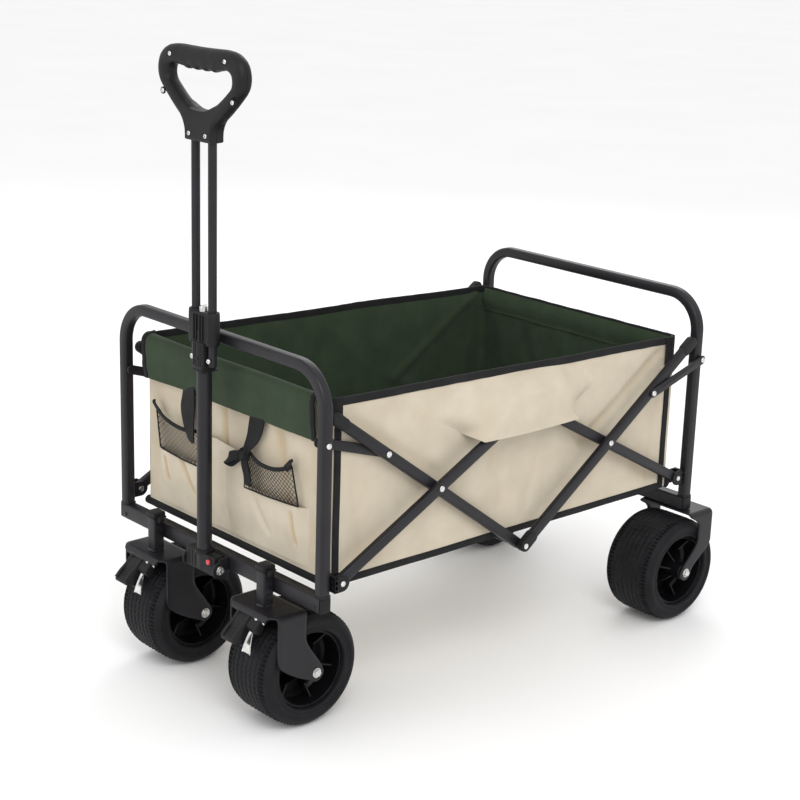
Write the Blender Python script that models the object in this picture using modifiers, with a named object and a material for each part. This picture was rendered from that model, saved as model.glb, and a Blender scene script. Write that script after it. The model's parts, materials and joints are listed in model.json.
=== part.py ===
"""Folding beach cart: two end hoops joined by side scissors, fat wheels, a telescopic pull handle.

Frame: X is the length (the handle end is -X), Y the width, Z up, the floor at Z = 0. Metres.
Sizes are worked out about the point midway between the two end hoops; the empty "cart" then
moves everything so that the origin is the centre of the footprint.
"""
import math

import bmesh
import bpy
from mathutils import Matrix, Vector

GAP = 0.0003                      # clearance between touching pieces
ENDS = {"front": -1, "rear": 1}
SIDES = {"left": -1, "right": 1}  # left and right of someone who pulls the cart

# End hoops and beams
HOOP_X = 0.404
HOOP_Y = 0.250
HOOP_TOP_Z = 0.572
HOOP_BEND = 0.060
TUBE = 0.018
TUBE_EDGE = 0.005
BEAM_HALF_X = 0.010
BEAM_Z = {"front": (0.2140, 0.2385), "rear": (0.1970, 0.2210)}
BEAM_HALF_Y = 0.259

# Side scissors: risers run from a lower corner to the top middle, diagonals from the lower
# middle to an upper corner; at each end one of the two lies in the outer layer.
PIVOT_X = 0.380
TOP_MID_Z = 0.4605
LOW_MID_Z = 0.2253
CROSS_X = 0.1876
CROSS_Z = 0.3604
TIP_X = 0.380
BAR_HALF = 0.0085                 # half the height of a scissor bar
BAR_THICK = 0.012
LAYER_Y = {"inner": 0.2435, "outer": 0.2575}
RISER_LAYER = {"front": "outer", "rear": "inner"}
DIAGONAL_LAYER = {"front": "inner", "rear": "outer"}
PIN_R = 0.003
HOLE_R = 0.0035
HEAD_R = 0.0050                   # rivet heads
HEAD_HIGH = 0.0022
BOLT_HEAD_R = 0.0045
FOLD_DEG = 48.0
LINK_X = 0.2826                   # where a link meets its diagonal
BRACKET_CHEEK = 0.010             # from the middle of a riser to the outside of its bracket
BRACKET_HALF_Z = 0.0125
LINK_HALF = 0.0075
LINK_THICK = 0.003
LINK_BOSS_R = 0.006
LINK_Y = {"front": 0.2340, "rear": 0.2640}
SHELL_Y = 0.2325                  # outer face of the fabric basket

# Wheels
WHEEL_R = 0.0915
WHEEL_HALF = 0.051
RIM_R = 0.0620
WHEEL_FACETS = 24
AXLE_R = 0.005
AXLE_HEAD_R = 0.0075
AXLE_X = {"front": -0.371, "rear": 0.386}
WHEEL_Y = {"front": 0.1415, "rear": 0.2215}
TYRE_SHOULDER = ((0.078, WHEEL_HALF), (0.0865, WHEEL_HALF - 0.004), (WHEEL_R, WHEEL_HALF - 0.013))
RIM_HALF = 0.043
RIM_INSIDE_R = 0.0585
BOSS_R = 0.0140
BOSS_HALF = 0.0545
WEB_HALF = 0.003
FORK_HALF = 0.0595
FORK_THICK = 0.004
FORK_STEP = 0.0006                # how far the legs stand proud of the plate's edges
FORK_TOP_Z = {"front": 0.1960, "rear": BEAM_Z["rear"][0] - GAP}
FORK_EYE_R = 0.0140
FORK_EYE_TURN = {"front": (200, 350), "rear": (160, 340)}  # where the eye meets the leg's edges
FORK_LEG = {"front": ((-0.446, 0.140), (-0.3925, 0.150)), "rear": ((0.414, 0.142), (0.449, 0.136))}
FORK_ROOF_X = {"front": (-0.4545, -0.390), "rear": (0.3945, 0.449)}
ROOF_FRONT_HALF = 0.048           # the caster roof narrows to this at its front edge
EAR_R = 0.0055
EAR_LOW_Y = (-0.0305, 0.0275)
POST_HALF = 0.0095
POST_X = -(HOOP_X + BEAM_HALF_X + GAP + POST_HALF)
POST_TOP_Z = 0.2500
STEM_R = 0.0055
STEM_TOP_Z = POST_TOP_Z - 0.012
RUNNING = 0.0004                  # clearance of a turning fit, on the radius
PEDAL_X = -0.4475
PEDAL_Z = 0.1825
PEDAL_HALF_Y = 0.0270
PEDAL_PIN_R = 0.0025
# Side view of the brake pedal below its pivot, X and Z
PEDAL_TOE = ((-0.4440, 0.1720), (-0.4500, 0.1560), (-0.4605, 0.1400), (-0.4650, 0.1385),
             (-0.4690, 0.1440), (-0.4820, 0.1475), (-0.4845, 0.1540), (-0.4740, 0.1640))

# Handle
HANDLE_X = -0.4310
HANDLE_Z = 0.2175
HANDLE_R = 0.0115
HANDLE_WALL = 0.0015
BRACKET_HALF_Y = 0.0400
BRACKET_Z = (0.199, 0.236)
SHEET_STEEL = 0.003
BASE_HALF = (0.0090, 0.0365)      # half sizes of the handle's foot block along X and Y
BASE_TOP_Z = 0.2385
LOCK_Y = -0.0240
LOCK_Z = 0.2290
LOCK_R = 0.0045
ROD_R = 0.0065
ROD_Y = 0.0205
ROD_LOW_Z = 0.533
COLLAR_LOW_Z = 0.522
COLLAR_STEP_Z = 0.566
COLLAR_TOP_Z = 0.615
COLLAR_BUTTON_R = 0.0074
GRIP_LOW_Z = 0.862
ROD_TOP_Z = GRIP_LOW_Z + 0.024
GRIP_SCREWS = ((0.020, 0.010), (0.084, 0.064), (0.066, 0.118))  # each side: Y, height in the grip
GRIP_HALF_X = 0.013

# Basket; its rim falls a little from the handle end to the rear
WALL_X = 0.370
FLOOR_Z = 0.2505
FLOOR_THICK = 0.004
WALL_LOW_Z = 0.2390
RIM_Z = {"front": 0.5230, "rear": 0.5060}
FLAP_X = (-0.3920, -0.3890)
FLAP_HALF_Y = 0.2260
FLAP_LOW_Z = 0.4560
FLOOR_BAR_X = 0.376
FLOOR_BAR_Z = 0.2440
FLOOR_BAR_R = 0.006
CLOTH = 0.002

SHIFT_X = 0.0035                  # from the middle of the hoops to the middle of the footprint

for old in list(bpy.data.objects):
    bpy.data.objects.remove(old, do_unlink=True)

model = bpy.data.collections.new("beach_cart")
guides = bpy.data.collections.new("guides")
bpy.context.scene.collection.children.link(model)
bpy.context.scene.collection.children.link(guides)

cart = bpy.data.objects.new("cart", None)
cart.location = (SHIFT_X, 0, 0)
model.objects.link(cart)


def material(name, colour, roughness, metallic=0.0):
    made = bpy.data.materials.new(name)
    made.use_nodes = True
    shader = made.node_tree.nodes["Principled BSDF"]
    shader.inputs["Base Color"].default_value = (*colour, 1.0)
    shader.inputs["Roughness"].default_value = roughness
    shader.inputs["Metallic"].default_value = metallic
    return made


PAINT = material("powder_coated_steel", (0.045, 0.043, 0.048), 0.42, 0.3)
PLASTIC = material("black_plastic", (0.020, 0.020, 0.022), 0.45)
RUBBER = material("black_rubber", (0.022, 0.022, 0.025), 0.60)
ZINC = material("zinc_plate", (0.62, 0.62, 0.60), 0.30, 1.0)
RED = material("red_plastic", (0.55, 0.03, 0.05), 0.40)
BEIGE = material("beige_cloth", (0.63, 0.55, 0.42), 0.85)


# ---------------------------------------------------------------- outlines, as lists of (u, v)

def arc(centre, radius, start, stop, steps):
    """Points on an arc, angles in degrees."""
    points = []
    for i in range(steps + 1):
        angle = math.radians(start + (stop - start) * i / steps)
        points.append((centre[0] + radius * math.cos(angle), centre[1] + radius * math.sin(angle)))
    return points


def circle(centre, radius, steps=12):
    return arc(centre, radius, 0, 360, steps)[:-1]


def stadium(a, b, radius, steps=6):
    """A strip from a to b with round ends."""
    turn = math.degrees(math.atan2(b[1] - a[1], b[0] - a[0]))
    return arc(b, radius, turn - 90, turn + 90, steps) + arc(a, radius, turn + 90, turn + 270, steps)


def rectangle(low, high, radius=0.0, steps=3):
    if radius == 0.0:
        return [low, (high[0], low[1]), high, (low[0], high[1])]
    left, right = low[0] + radius, high[0] - radius
    bottom, top = low[1] + radius, high[1] - radius
    corners = ((right, bottom, -90), (right, top, 0), (left, top, 90), (left, bottom, 180))
    points = []
    for u, v, start in corners:
        points += arc((u, v), radius, start, start + 90, steps)
    return points


# ---------------------------------------------------------------- solids

# Each turns a flat outline's (u, v, w) into the cart's X, Y, Z; w is the extrusion.
PLANES = {
    "xz": Matrix(((1, 0, 0), (0, 0, -1), (0, 1, 0))).to_4x4(),
    "yz": Matrix(((0, 0, 1), (1, 0, 0), (0, 1, 0))).to_4x4(),
    "xy": Matrix.Identity(4),
}
AXIS_OF_PLANE = {"xz": 1, "yz": 0, "xy": 2}


def baked(source, name):
    """A plain, welded mesh object of what source evaluates to; source is removed."""
    graph = bpy.context.evaluated_depsgraph_get()
    mesh = bpy.data.meshes.new_from_object(source.evaluated_get(graph))
    mesh.transform(source.matrix_world)
    bpy.data.objects.remove(source, do_unlink=True)
    work = bmesh.new()
    work.from_mesh(mesh)
    bmesh.ops.remove_doubles(work, verts=work.verts, dist=1e-6)
    bmesh.ops.recalc_face_normals(work, faces=work.faces)
    work.to_mesh(mesh)
    work.free()
    made = bpy.data.objects.new(name, mesh)
    model.objects.link(made)
    return made


def spline(curve, points, cyclic):
    line = curve.splines.new("POLY")
    line.points.add(len(points) - 1)
    for slot, point in zip(line.points, points):
        slot.co = (*point, *([0.0] * (3 - len(point))), 1.0)
    line.use_cyclic_u = cyclic


def plate(plane, outline, low, high, holes=()):
    """A flat outline in a plane of the cart, thickened from low to high along the third axis."""
    curve = bpy.data.curves.new("outline", "CURVE")
    curve.dimensions = "2D"
    curve.fill_mode = "BOTH"
    curve.extrude = (high - low) / 2
    for points in (outline, *holes):
        spline(curve, points, True)
    flat = bpy.data.objects.new("outline", curve)
    guides.objects.link(flat)
    offset = Vector((0, 0, 0))
    offset[AXIS_OF_PLANE[plane]] = (low + high) / 2
    flat.matrix_world = Matrix.Translation(offset) @ PLANES[plane]
    bpy.context.view_layer.update()
    return baked(flat, "plate")


def box(low, high):
    return plate("xy", rectangle(low[:2], high[:2]), low[2], high[2])


def turned(profile, axis, centre, steps=16, ring=False):
    """A profile of (radius, distance along axis) turned about an axis through centre."""
    mesh = bpy.data.meshes.new("profile")
    edges = [(i, i + 1) for i in range(len(profile) - 1)]
    if ring:
        edges.append((len(profile) - 1, 0))
    mesh.from_pydata([(radius, 0, along) for radius, along in profile], edges, [])
    solid = bpy.data.objects.new("turned", mesh)
    guides.objects.link(solid)
    turn = solid.modifiers.new("turn", "SCREW")
    turn.steps = turn.render_steps = steps
    turn.use_merge_vertices = True
    turn.merge_threshold = 1e-6
    tilt = Vector(axis).to_track_quat("Z", "Y").to_matrix().to_4x4()
    solid.matrix_world = Matrix.Translation(centre) @ tilt
    bpy.context.view_layer.update()
    return baked(solid, "turned")


def rod(radius, start, end, steps=12):
    axis = Vector(end) - Vector(start)
    return turned([(0, 0), (radius, 0), (radius, axis.length), (0, axis.length)], axis, start, steps)


def combine(target, others, operation="UNION"):
    for other in others:
        step = target.modifiers.new("combine", "BOOLEAN")
        step.operation = operation
        step.object = other
        step.solver = "EXACT"
    bpy.context.view_layer.update()
    result = baked(target, target.name)
    for other in others:
        bpy.data.objects.remove(other, do_unlink=True)
    return result


def cut(target, cutters):
    return combine(target, cutters, "DIFFERENCE")


def piece(name, solid, finish, origin=(0, 0, 0)):
    """Names a solid as a sub-part, puts its origin on its joint and hangs it on the cart."""
    solid.name = name
    solid.data.name = name
    solid.data.materials.clear()
    solid.data.materials.append(finish)
    solid.data.transform(Matrix.Translation(-Vector(origin)))
    solid.location = origin
    solid.parent = cart
    solid.data.shade_smooth()
    solid.data.set_sharp_from_angle(angle=math.radians(35))


# ---------------------------------------------------------------- fold geometry

def riser_slope():
    return math.atan2(TOP_MID_Z - CROSS_Z, CROSS_X)


def pivot_z():
    """Height of the lower corner pivots, which lie on the risers' line."""
    return TOP_MID_Z - PIVOT_X * math.tan(riser_slope())


def diagonal_slope():
    return math.atan2(CROSS_Z - LOW_MID_Z, CROSS_X)


def on_diagonal(x):
    return LOW_MID_Z + x * math.tan(diagonal_slope())


def folded_diagonal_point(x):
    """Where the point of a diagonal at x lies in its own end's frame once folded."""
    riser = riser_slope() + math.radians(FOLD_DEG)
    length = PIVOT_X / math.cos(riser_slope())
    low_part = (PIVOT_X - CROSS_X) / math.cos(riser_slope())
    cross = Vector((PIVOT_X - low_part * math.cos(riser), pivot_z() + low_part * math.sin(riser)))
    middle_x = PIVOT_X - length * math.cos(riser)
    half = CROSS_X / math.cos(diagonal_slope())
    slope = math.acos((cross.x - middle_x) / half)
    middle = cross - half * Vector((math.cos(slope), math.sin(slope)))
    return middle + x / math.cos(diagonal_slope()) * Vector((math.cos(slope), math.sin(slope)))


def link_pivot_z():
    """Height on the leg that is equally far from the link's far end open and folded."""
    near = Vector((LINK_X, on_diagonal(LINK_X)))
    far = folded_diagonal_point(LINK_X)
    open_part = (HOOP_X - near.x) ** 2 + near.y ** 2
    folded_part = (HOOP_X - far.x) ** 2 + far.y ** 2
    return (folded_part - open_part) / (2 * (far.y - near.y))


# ---------------------------------------------------------------- frame pieces

def hoop_profile():
    """The rounded square section that the hoops are swept with."""
    half = TUBE / 2
    section = bpy.data.curves.new("hoop_section", "CURVE")
    section.dimensions = "2D"
    spline(section, rectangle((-half, -half), (half, half), TUBE_EDGE, 2), True)
    made = bpy.data.objects.new("hoop_section", section)
    made.hide_render = True
    made.display_type = "WIRE"
    guides.objects.link(made)
    return made


def build_hoop(end, section):
    x = ENDS[end] * HOOP_X
    bend_y, bend_z = HOOP_Y - HOOP_BEND, HOOP_TOP_Z - HOOP_BEND
    foot = BEAM_Z[end][1] + GAP
    path = [(-HOOP_Y, foot)]
    path += arc((-bend_y, bend_z), HOOP_BEND, 180, 90, 6)
    path += arc((bend_y, bend_z), HOOP_BEND, 90, 0, 6)
    path += [(HOOP_Y, foot)]
    curve = bpy.data.curves.new("hoop_path", "CURVE")
    curve.dimensions = "3D"
    curve.bevel_mode = "OBJECT"
    curve.bevel_object = section
    curve.use_fill_caps = True
    spline(curve, [(x, y, z) for y, z in path], False)
    swept = bpy.data.objects.new("hoop", curve)
    guides.objects.link(swept)
    bpy.context.view_layer.update()
    solid = baked(swept, "hoop")
    # The front links pivot on the inner face; their bolt heads show outside the legs.
    if end == "front":
        bolts = []
        for side in SIDES.values():
            outside = side * (HOOP_Y + TUBE / 2)
            start = (x, outside - side * 0.002, link_pivot_z())
            bolts.append(rod(BOLT_HEAD_R, start, (x, outside + side * 0.0025, link_pivot_z())))
        solid = combine(solid, bolts)
    piece(f"{end}_hoop", solid, PAINT)


def build_beam(end):
    x = ENDS[end] * HOOP_X
    low, high = (x - BEAM_HALF_X, BEAM_Z[end][0]), (x + BEAM_HALF_X, BEAM_Z[end][1])
    beam = plate("xz", rectangle(low, high, 0.003, 2), -BEAM_HALF_Y, BEAM_HALF_Y)
    piece(f"{end}_beam", beam, PAINT)


def build_floor_bar(end):
    x = ENDS[end] * FLOOR_BAR_X
    reach = LAYER_Y["inner"] - BRACKET_CHEEK - GAP
    bar = rod(FLOOR_BAR_R, (x, -reach, FLOOR_BAR_Z), (x, reach, FLOOR_BAR_Z))
    piece(f"{end}_floor_bar", bar, PAINT)


def build_pivot_bracket(end, side):
    """A plastic fork on the leg's inner face that holds the lower end of a riser."""
    sign, across = ENDS[end], SIDES[side]
    layer = LAYER_Y[RISER_LAYER[end]]
    leg_face = HOOP_X - TUBE / 2 - GAP
    cheek_in, cheek_out = BAR_THICK / 2 + GAP, BRACKET_CHEEK
    height = BRACKET_HALF_Z
    solids = []
    web_low, web_high = PIVOT_X + BAR_HALF + 0.0008, leg_face
    xs = sorted((sign * web_low, sign * web_high))
    ys = sorted((across * (layer - cheek_out), across * (layer + cheek_out)))
    solids.append(box((xs[0], ys[0], pivot_z() - height), (xs[1], ys[1], pivot_z() + height)))
    for low, high in ((layer - cheek_out, layer - cheek_in), (layer + cheek_in, layer + cheek_out)):
        nose = arc((sign * PIVOT_X, pivot_z()), height, 90, 90 + sign * 180, 6)
        outline = nose + [(sign * leg_face, pivot_z() - height), (sign * leg_face, pivot_z() + height)]
        y_low, y_high = sorted((across * low, across * high))
        solids.append(plate("xz", outline, y_low, y_high))
    start = (sign * PIVOT_X, across * (layer - cheek_out + 0.001), pivot_z())
    head = (sign * PIVOT_X, across * (layer + cheek_out - 0.001), pivot_z())
    tail = (sign * PIVOT_X, across * (layer + cheek_out + 0.0015), pivot_z())
    solids += [rod(PIN_R, start, head), rod(BOLT_HEAD_R, head, tail, 8)]
    piece(f"{end}_pivot_bracket_{side}", combine(solids[0], solids[1:]), PLASTIC)


# ---------------------------------------------------------------- scissors

def rivet(layer_from, layer_to, x, z, across, head_in=True, head_out=True):
    """A pin between two distances from the middle plane, with a flat head at either end."""
    profile = [(0, layer_from)]
    if head_in:
        profile += [(HEAD_R, layer_from), (HEAD_R, layer_from + HEAD_HIGH)]
    profile += [(PIN_R, profile[-1][1])]
    if head_out:
        under_head = layer_to - HEAD_HIGH
        profile += [(PIN_R, under_head), (HEAD_R, under_head), (HEAD_R, layer_to)]
    else:
        profile += [(PIN_R, layer_to)]
    profile.append((0, layer_to))
    return turned(profile, (0, across, 0), (x, 0, z), 12)


def build_riser(end, side):
    sign, across = ENDS[end], SIDES[side]
    layer = LAYER_Y[RISER_LAYER[end]]
    low, top = (sign * PIVOT_X, pivot_z()), (0.0, TOP_MID_Z)
    cross = (sign * CROSS_X, CROSS_Z)
    faces = sorted((across * (layer - BAR_THICK / 2), across * (layer + BAR_THICK / 2)))
    holes = [circle(low, HOLE_R)]
    if end == "front":
        holes.append(circle(top, HOLE_R))
    bar = plate("xz", stadium(low, top, BAR_HALF), *faces, holes=holes)
    proud = HEAD_HIGH + GAP
    inner_end = LAYER_Y["inner"] - BAR_THICK / 2 - proud
    outer_end = LAYER_Y["outer"] + BAR_THICK / 2 + proud
    pins = [rivet(inner_end, outer_end, *cross, across)]
    if end == "rear":
        pins.append(rivet(inner_end, outer_end, *top, across))
    origin = (*low[:1], across * layer, low[1]) if end == "rear" else (top[0], across * layer, top[1])
    piece(f"{end}_riser_{side}", combine(bar, pins), PAINT, origin)


def build_diagonal(end, side):
    sign, across = ENDS[end], SIDES[side]
    layer = LAYER_Y[DIAGONAL_LAYER[end]]
    low, tip = (0.0, LOW_MID_Z), (sign * TIP_X, on_diagonal(TIP_X))
    cross = (sign * CROSS_X, CROSS_Z)
    faces = sorted((across * (layer - BAR_THICK / 2), across * (layer + BAR_THICK / 2)))
    bar = plate("xz", stadium(low, tip, BAR_HALF), *faces, holes=[circle(cross, HOLE_R)])
    head_end = layer + BAR_THICK / 2 + HEAD_HIGH
    head_x = 0.0 if end == "rear" else sign * LINK_X
    head_z = on_diagonal(abs(head_x))
    head = rivet(layer, head_end, head_x, head_z, across, head_in=False)
    origin = (sign * CROSS_X, across * layer, CROSS_Z)
    piece(f"{end}_diagonal_{side}", combine(bar, [head]), PAINT, origin)


def build_link(end, side):
    """A short strap from the leg to the upper part of the diagonal."""
    sign, across = ENDS[end], SIDES[side]
    face = LINK_Y[end]
    leg, far = (sign * HOOP_X, link_pivot_z()), (sign * LINK_X, on_diagonal(LINK_X))
    faces = sorted((across * face, across * (face + LINK_THICK)))
    strap = plate("xz", stadium(leg, far, LINK_HALF), *faces)
    inside_strap = face + 0.001
    leg_face = HOOP_Y + (1 if end == "rear" else -1) * (TUBE / 2 + GAP)

    def stub(spot, radius, stop):
        x, z = spot
        return rod(radius, (x, across * inside_strap, z), (x, across * stop, z))

    extras = [stub(leg, LINK_BOSS_R, leg_face)]
    if end == "rear":
        for spot in (leg, far):
            extras.append(stub(spot, BOLT_HEAD_R, face + LINK_THICK + 0.0025))
    piece(f"{end}_link_{side}", combine(strap, extras), PAINT, (leg[0], across * face, leg[1]))


def build_middle_floor_bar():
    """Joins the lower middle joints of the two sides under the basket."""
    reach = LAYER_Y["inner"] - BAR_THICK / 2 - GAP
    bar = rod(FLOOR_BAR_R, (0, -reach, LOW_MID_Z), (0, reach, LOW_MID_Z))
    piece("middle_floor_bar", bar, PAINT, (0, 0, LOW_MID_Z))


# ---------------------------------------------------------------- wheels

def build_wheel(end, side):
    centre = (AXLE_X[end], SIDES[side] * WHEEL_Y[end], WHEEL_R)
    upper = [(RIM_R, WHEEL_HALF - 0.002), *TYRE_SHOULDER]
    lower = [(radius, -along) for radius, along in reversed(upper)]
    tyre = turned(upper + lower, (0, 1, 0), centre, WHEEL_FACETS, ring=True)
    piece(f"{end}_tyre_{side}", tyre, RUBBER, centre)
    quarter = [(RIM_R - GAP, RIM_HALF), (RIM_INSIDE_R, RIM_HALF), (RIM_INSIDE_R, WEB_HALF)]
    quarter += [(BOSS_R, WEB_HALF), (BOSS_R, BOSS_HALF), (AXLE_R + RUNNING, BOSS_HALF)]
    other = [(radius, -along) for radius, along in reversed(quarter)]
    hub = turned(quarter + other, (0, 1, 0), centre, WHEEL_FACETS, ring=True)
    piece(f"{end}_hub_{side}", hub, PLASTIC, centre)


def build_axle(end, side):
    centre = (AXLE_X[end], SIDES[side] * WHEEL_Y[end], WHEEL_R)
    inner, outer = FORK_HALF + GAP, FORK_HALF + 0.0045
    profile = [(0, -outer), (AXLE_HEAD_R, -outer), (AXLE_HEAD_R, -inner), (AXLE_R, -inner)]
    profile += [(AXLE_R, inner), (AXLE_HEAD_R, inner), (AXLE_HEAD_R, outer), (0, outer)]
    piece(f"{end}_axle_{side}", turned(profile, (0, 1, 0), centre, 12), ZINC, centre)


def fork_leg_outline(end):
    """Side view of a fork leg: wide under the plate, round about the axle."""
    centre, top = (AXLE_X[end], WHEEL_R), FORK_TOP_Z[end] - FORK_STEP
    (low_x, low_z), (high_x, high_z) = FORK_LEG[end]
    eye = arc(centre, FORK_EYE_R, *FORK_EYE_TURN[end], 8)
    return [(low_x, top), (low_x, low_z)] + eye + [(high_x, high_z), (FORK_ROOF_X[end][1], top)]


def build_fork(end, side):
    """A bent strap over the wheel; the front one has a stem and ears for the brake pedal."""
    y, top = SIDES[side] * WHEEL_Y[end], FORK_TOP_Z[end]
    legs = []
    for low in (-FORK_HALF, FORK_HALF - FORK_THICK):
        hole = circle((AXLE_X[end], WHEEL_R), AXLE_R + RUNNING)
        legs.append(plate("xz", fork_leg_outline(end), y + low, y + low + FORK_THICK, holes=[hole]))
    x_low, x_high = FORK_ROOF_X[end]
    x_high -= ENDS[end] * FORK_STEP
    roof_half = FORK_HALF - FORK_STEP
    roof_outline = [(x_high, y - roof_half), (x_high, y + roof_half)]
    if end == "front":
        roof_outline += [(x_low + 0.014, y + roof_half), (x_low, y + ROOF_FRONT_HALF)]
        roof_outline += [(x_low, y - ROOF_FRONT_HALF), (x_low + 0.014, y - roof_half)]
    else:
        roof_outline += [(x_low, y + roof_half), (x_low, y - roof_half)]
    roof = plate("xy", roof_outline, top - FORK_THICK, top)
    extras = legs
    origin = (AXLE_X[end], y, WHEEL_R)
    if end == "front":
        extras.append(rod(STEM_R, (POST_X, y, top - 0.001), (POST_X, y, STEM_TOP_Z), 16))
        ear_outline = [(PEDAL_X - EAR_R, top - 0.001), (PEDAL_X + EAR_R, top - 0.001)]
        ear_outline += arc((PEDAL_X, PEDAL_Z), EAR_R, 0, -180, 6)
        for low in EAR_LOW_Y:
            extras.append(plate("xz", ear_outline, y + low, y + low + SHEET_STEEL))
        pin_end = EAR_LOW_Y[1] + SHEET_STEEL - 0.0005
        extras.append(rod(PEDAL_PIN_R, (PEDAL_X, y - pin_end, PEDAL_Z), (PEDAL_X, y + pin_end, PEDAL_Z)))
        origin = (POST_X, y, top)
    name = f"caster_fork_{side}" if end == "front" else f"rear_fork_{side}"
    piece(name, combine(roof, extras), PAINT, origin)


def build_caster_post(side):
    """Square post welded to the front beam, with a plastic cap; the fork's stem turns in it."""
    y, half = SIDES[side] * WHEEL_Y["front"], POST_HALF
    post_low_z = FORK_TOP_Z["front"] + 0.0005
    post = box((POST_X - half, y - half, post_low_z), (POST_X + half, y + half, POST_TOP_Z))
    wide = half + 0.002
    cap = box((POST_X - wide, y - wide, POST_TOP_Z - 0.001), (POST_X + wide, y + wide, POST_TOP_Z + 0.010))
    lug_low, lug_high = (POST_X - 0.005, y - half - 0.007), (POST_X + 0.005, y - half + 0.001)
    lug = box((*lug_low, POST_TOP_Z - 0.006), (*lug_high, POST_TOP_Z + 0.004))
    bore_low = (POST_X, y, FORK_TOP_Z["front"] - 0.01)
    bore = rod(STEM_R + RUNNING, bore_low, (POST_X, y, STEM_TOP_Z + 0.002), 16)
    piece(f"caster_post_{side}", cut(combine(post, [cap, lug]), [bore]), PAINT)


def build_brake_pedal(side):
    y = SIDES[side] * WHEEL_Y["front"]
    outline = arc((PEDAL_X, PEDAL_Z), EAR_R, 150, -20, 5) + list(PEDAL_TOE)
    hole = circle((PEDAL_X, PEDAL_Z), PEDAL_PIN_R + RUNNING)
    pedal = plate("xz", outline, y - PEDAL_HALF_Y, y + PEDAL_HALF_Y, holes=[hole])
    piece(f"brake_pedal_{side}", pedal, PLASTIC, (PEDAL_X, y, PEDAL_Z))


# ---------------------------------------------------------------- handle

def build_handle_bracket():
    back = -(HOOP_X + BEAM_HALF_X + GAP)
    low_z, high_z = BRACKET_Z
    wide = BRACKET_HALF_Y
    web = box((back - 0.0025, -wide, low_z), (back, wide, high_z))
    outline = [(back, low_z), (back, high_z), (HANDLE_X, high_z)]
    outline += arc((HANDLE_X, HANDLE_Z), 0.0135, 100, 260, 6)
    hole = circle((HANDLE_X, HANDLE_Z), HOLE_R)
    cheeks = []
    for low in (-wide, wide - SHEET_STEEL):
        cheeks.append(plate("xz", outline, low, low + SHEET_STEEL, holes=[hole]))
    piece("handle_bracket", combine(web, cheeks), PAINT)
    head_in, head_out, head_r = wide + GAP, wide + 0.0045, 0.0055
    upper = [(PIN_R, head_in), (head_r, head_in), (head_r, head_out), (0, head_out)]
    lower = [(radius, -along) for radius, along in reversed(upper)]
    bolt = turned(lower + upper, (0, 1, 0), (HANDLE_X, 0, HANDLE_Z))
    piece("handle_pivot_bolt", bolt, ZINC, (HANDLE_X, 0, HANDLE_Z))


def build_handle_base():
    """The block at the foot of the handle, with the lock button in its front face."""
    origin = (HANDLE_X, 0, HANDLE_Z)
    low_z, high_z = HANDLE_Z - 0.010, BASE_TOP_Z
    half_x, half_y = BASE_HALF
    block = box((HANDLE_X - half_x, -half_y, low_z), (HANDLE_X + half_x, half_y, high_z))
    socket = rod(HANDLE_R + GAP, (HANDLE_X, 0, low_z + 0.003), (HANDLE_X, 0, high_z + 0.01), 16)
    bore = rod(HOLE_R, (HANDLE_X, -0.05, HANDLE_Z), (HANDLE_X, 0.05, HANDLE_Z))
    front = HANDLE_X - half_x
    pocket = rod(LOCK_R + 0.0005, (front - 0.002, LOCK_Y, LOCK_Z), (front + 0.0055, LOCK_Y, LOCK_Z))
    piece("handle_base", cut(block, [socket, bore, pocket]), PLASTIC, origin)
    button = rod(LOCK_R, (front - 0.0035, LOCK_Y, LOCK_Z), (front + 0.0020, LOCK_Y, LOCK_Z))
    piece("lock_button", button, RED, (front, LOCK_Y, LOCK_Z))


def build_handle_tube():
    foot, top = HANDLE_Z - 0.0065, COLLAR_STEP_Z + 0.020
    inner = HANDLE_R - HANDLE_WALL
    profile = [(HANDLE_R, foot), (HANDLE_R, top), (inner, top), (inner, foot)]
    tube = turned(profile, (0, 0, 1), (HANDLE_X, 0, 0), 16, ring=True)
    bore = rod(HOLE_R, (HANDLE_X, -0.03, HANDLE_Z), (HANDLE_X, 0.03, HANDLE_Z))
    piece("handle_tube", cut(tube, [bore]), PAINT, (HANDLE_X, 0, HANDLE_Z))


def build_collar():
    """A sleeve on the lower tube that widens into a head with a guide for each rod."""
    x = HANDLE_X
    head_outline = rectangle((x - 0.0110, -0.0285), (x + 0.0110, 0.0285), 0.005)
    sleeve_outline = rectangle((x - 0.0135, -0.0136), (x + 0.0135, 0.0136), 0.004)
    wide = plate("xy", head_outline, COLLAR_STEP_Z, COLLAR_TOP_Z)
    low = plate("xy", sleeve_outline, COLLAR_LOW_Z, COLLAR_STEP_Z + 0.002)
    cutters = [rod(HANDLE_R + GAP, (x, 0, COLLAR_LOW_Z - 0.01), (x, 0, COLLAR_STEP_Z + 0.0205), 16)]
    for across in SIDES.values():
        y = across * ROD_Y
        cutters.append(rod(ROD_R + GAP, (x, y, COLLAR_STEP_Z - 0.01), (x, y, COLLAR_TOP_Z + 0.01), 16))
    bore_r = COLLAR_BUTTON_R + RUNNING
    cutters.append(rod(bore_r, (x, 0, COLLAR_TOP_Z - 0.012), (x, 0, COLLAR_TOP_Z + 0.01), 16))
    piece("handle_collar", cut(combine(wide, [low]), cutters), PLASTIC, (x, 0, COLLAR_LOW_Z))
    button_low, button_high = (x, 0, COLLAR_TOP_Z - 0.0045), (x, 0, COLLAR_TOP_Z + 0.0075)
    button = rod(COLLAR_BUTTON_R, button_low, button_high, 16)
    piece("collar_button", button, ZINC, (x, 0, COLLAR_TOP_Z))


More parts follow.
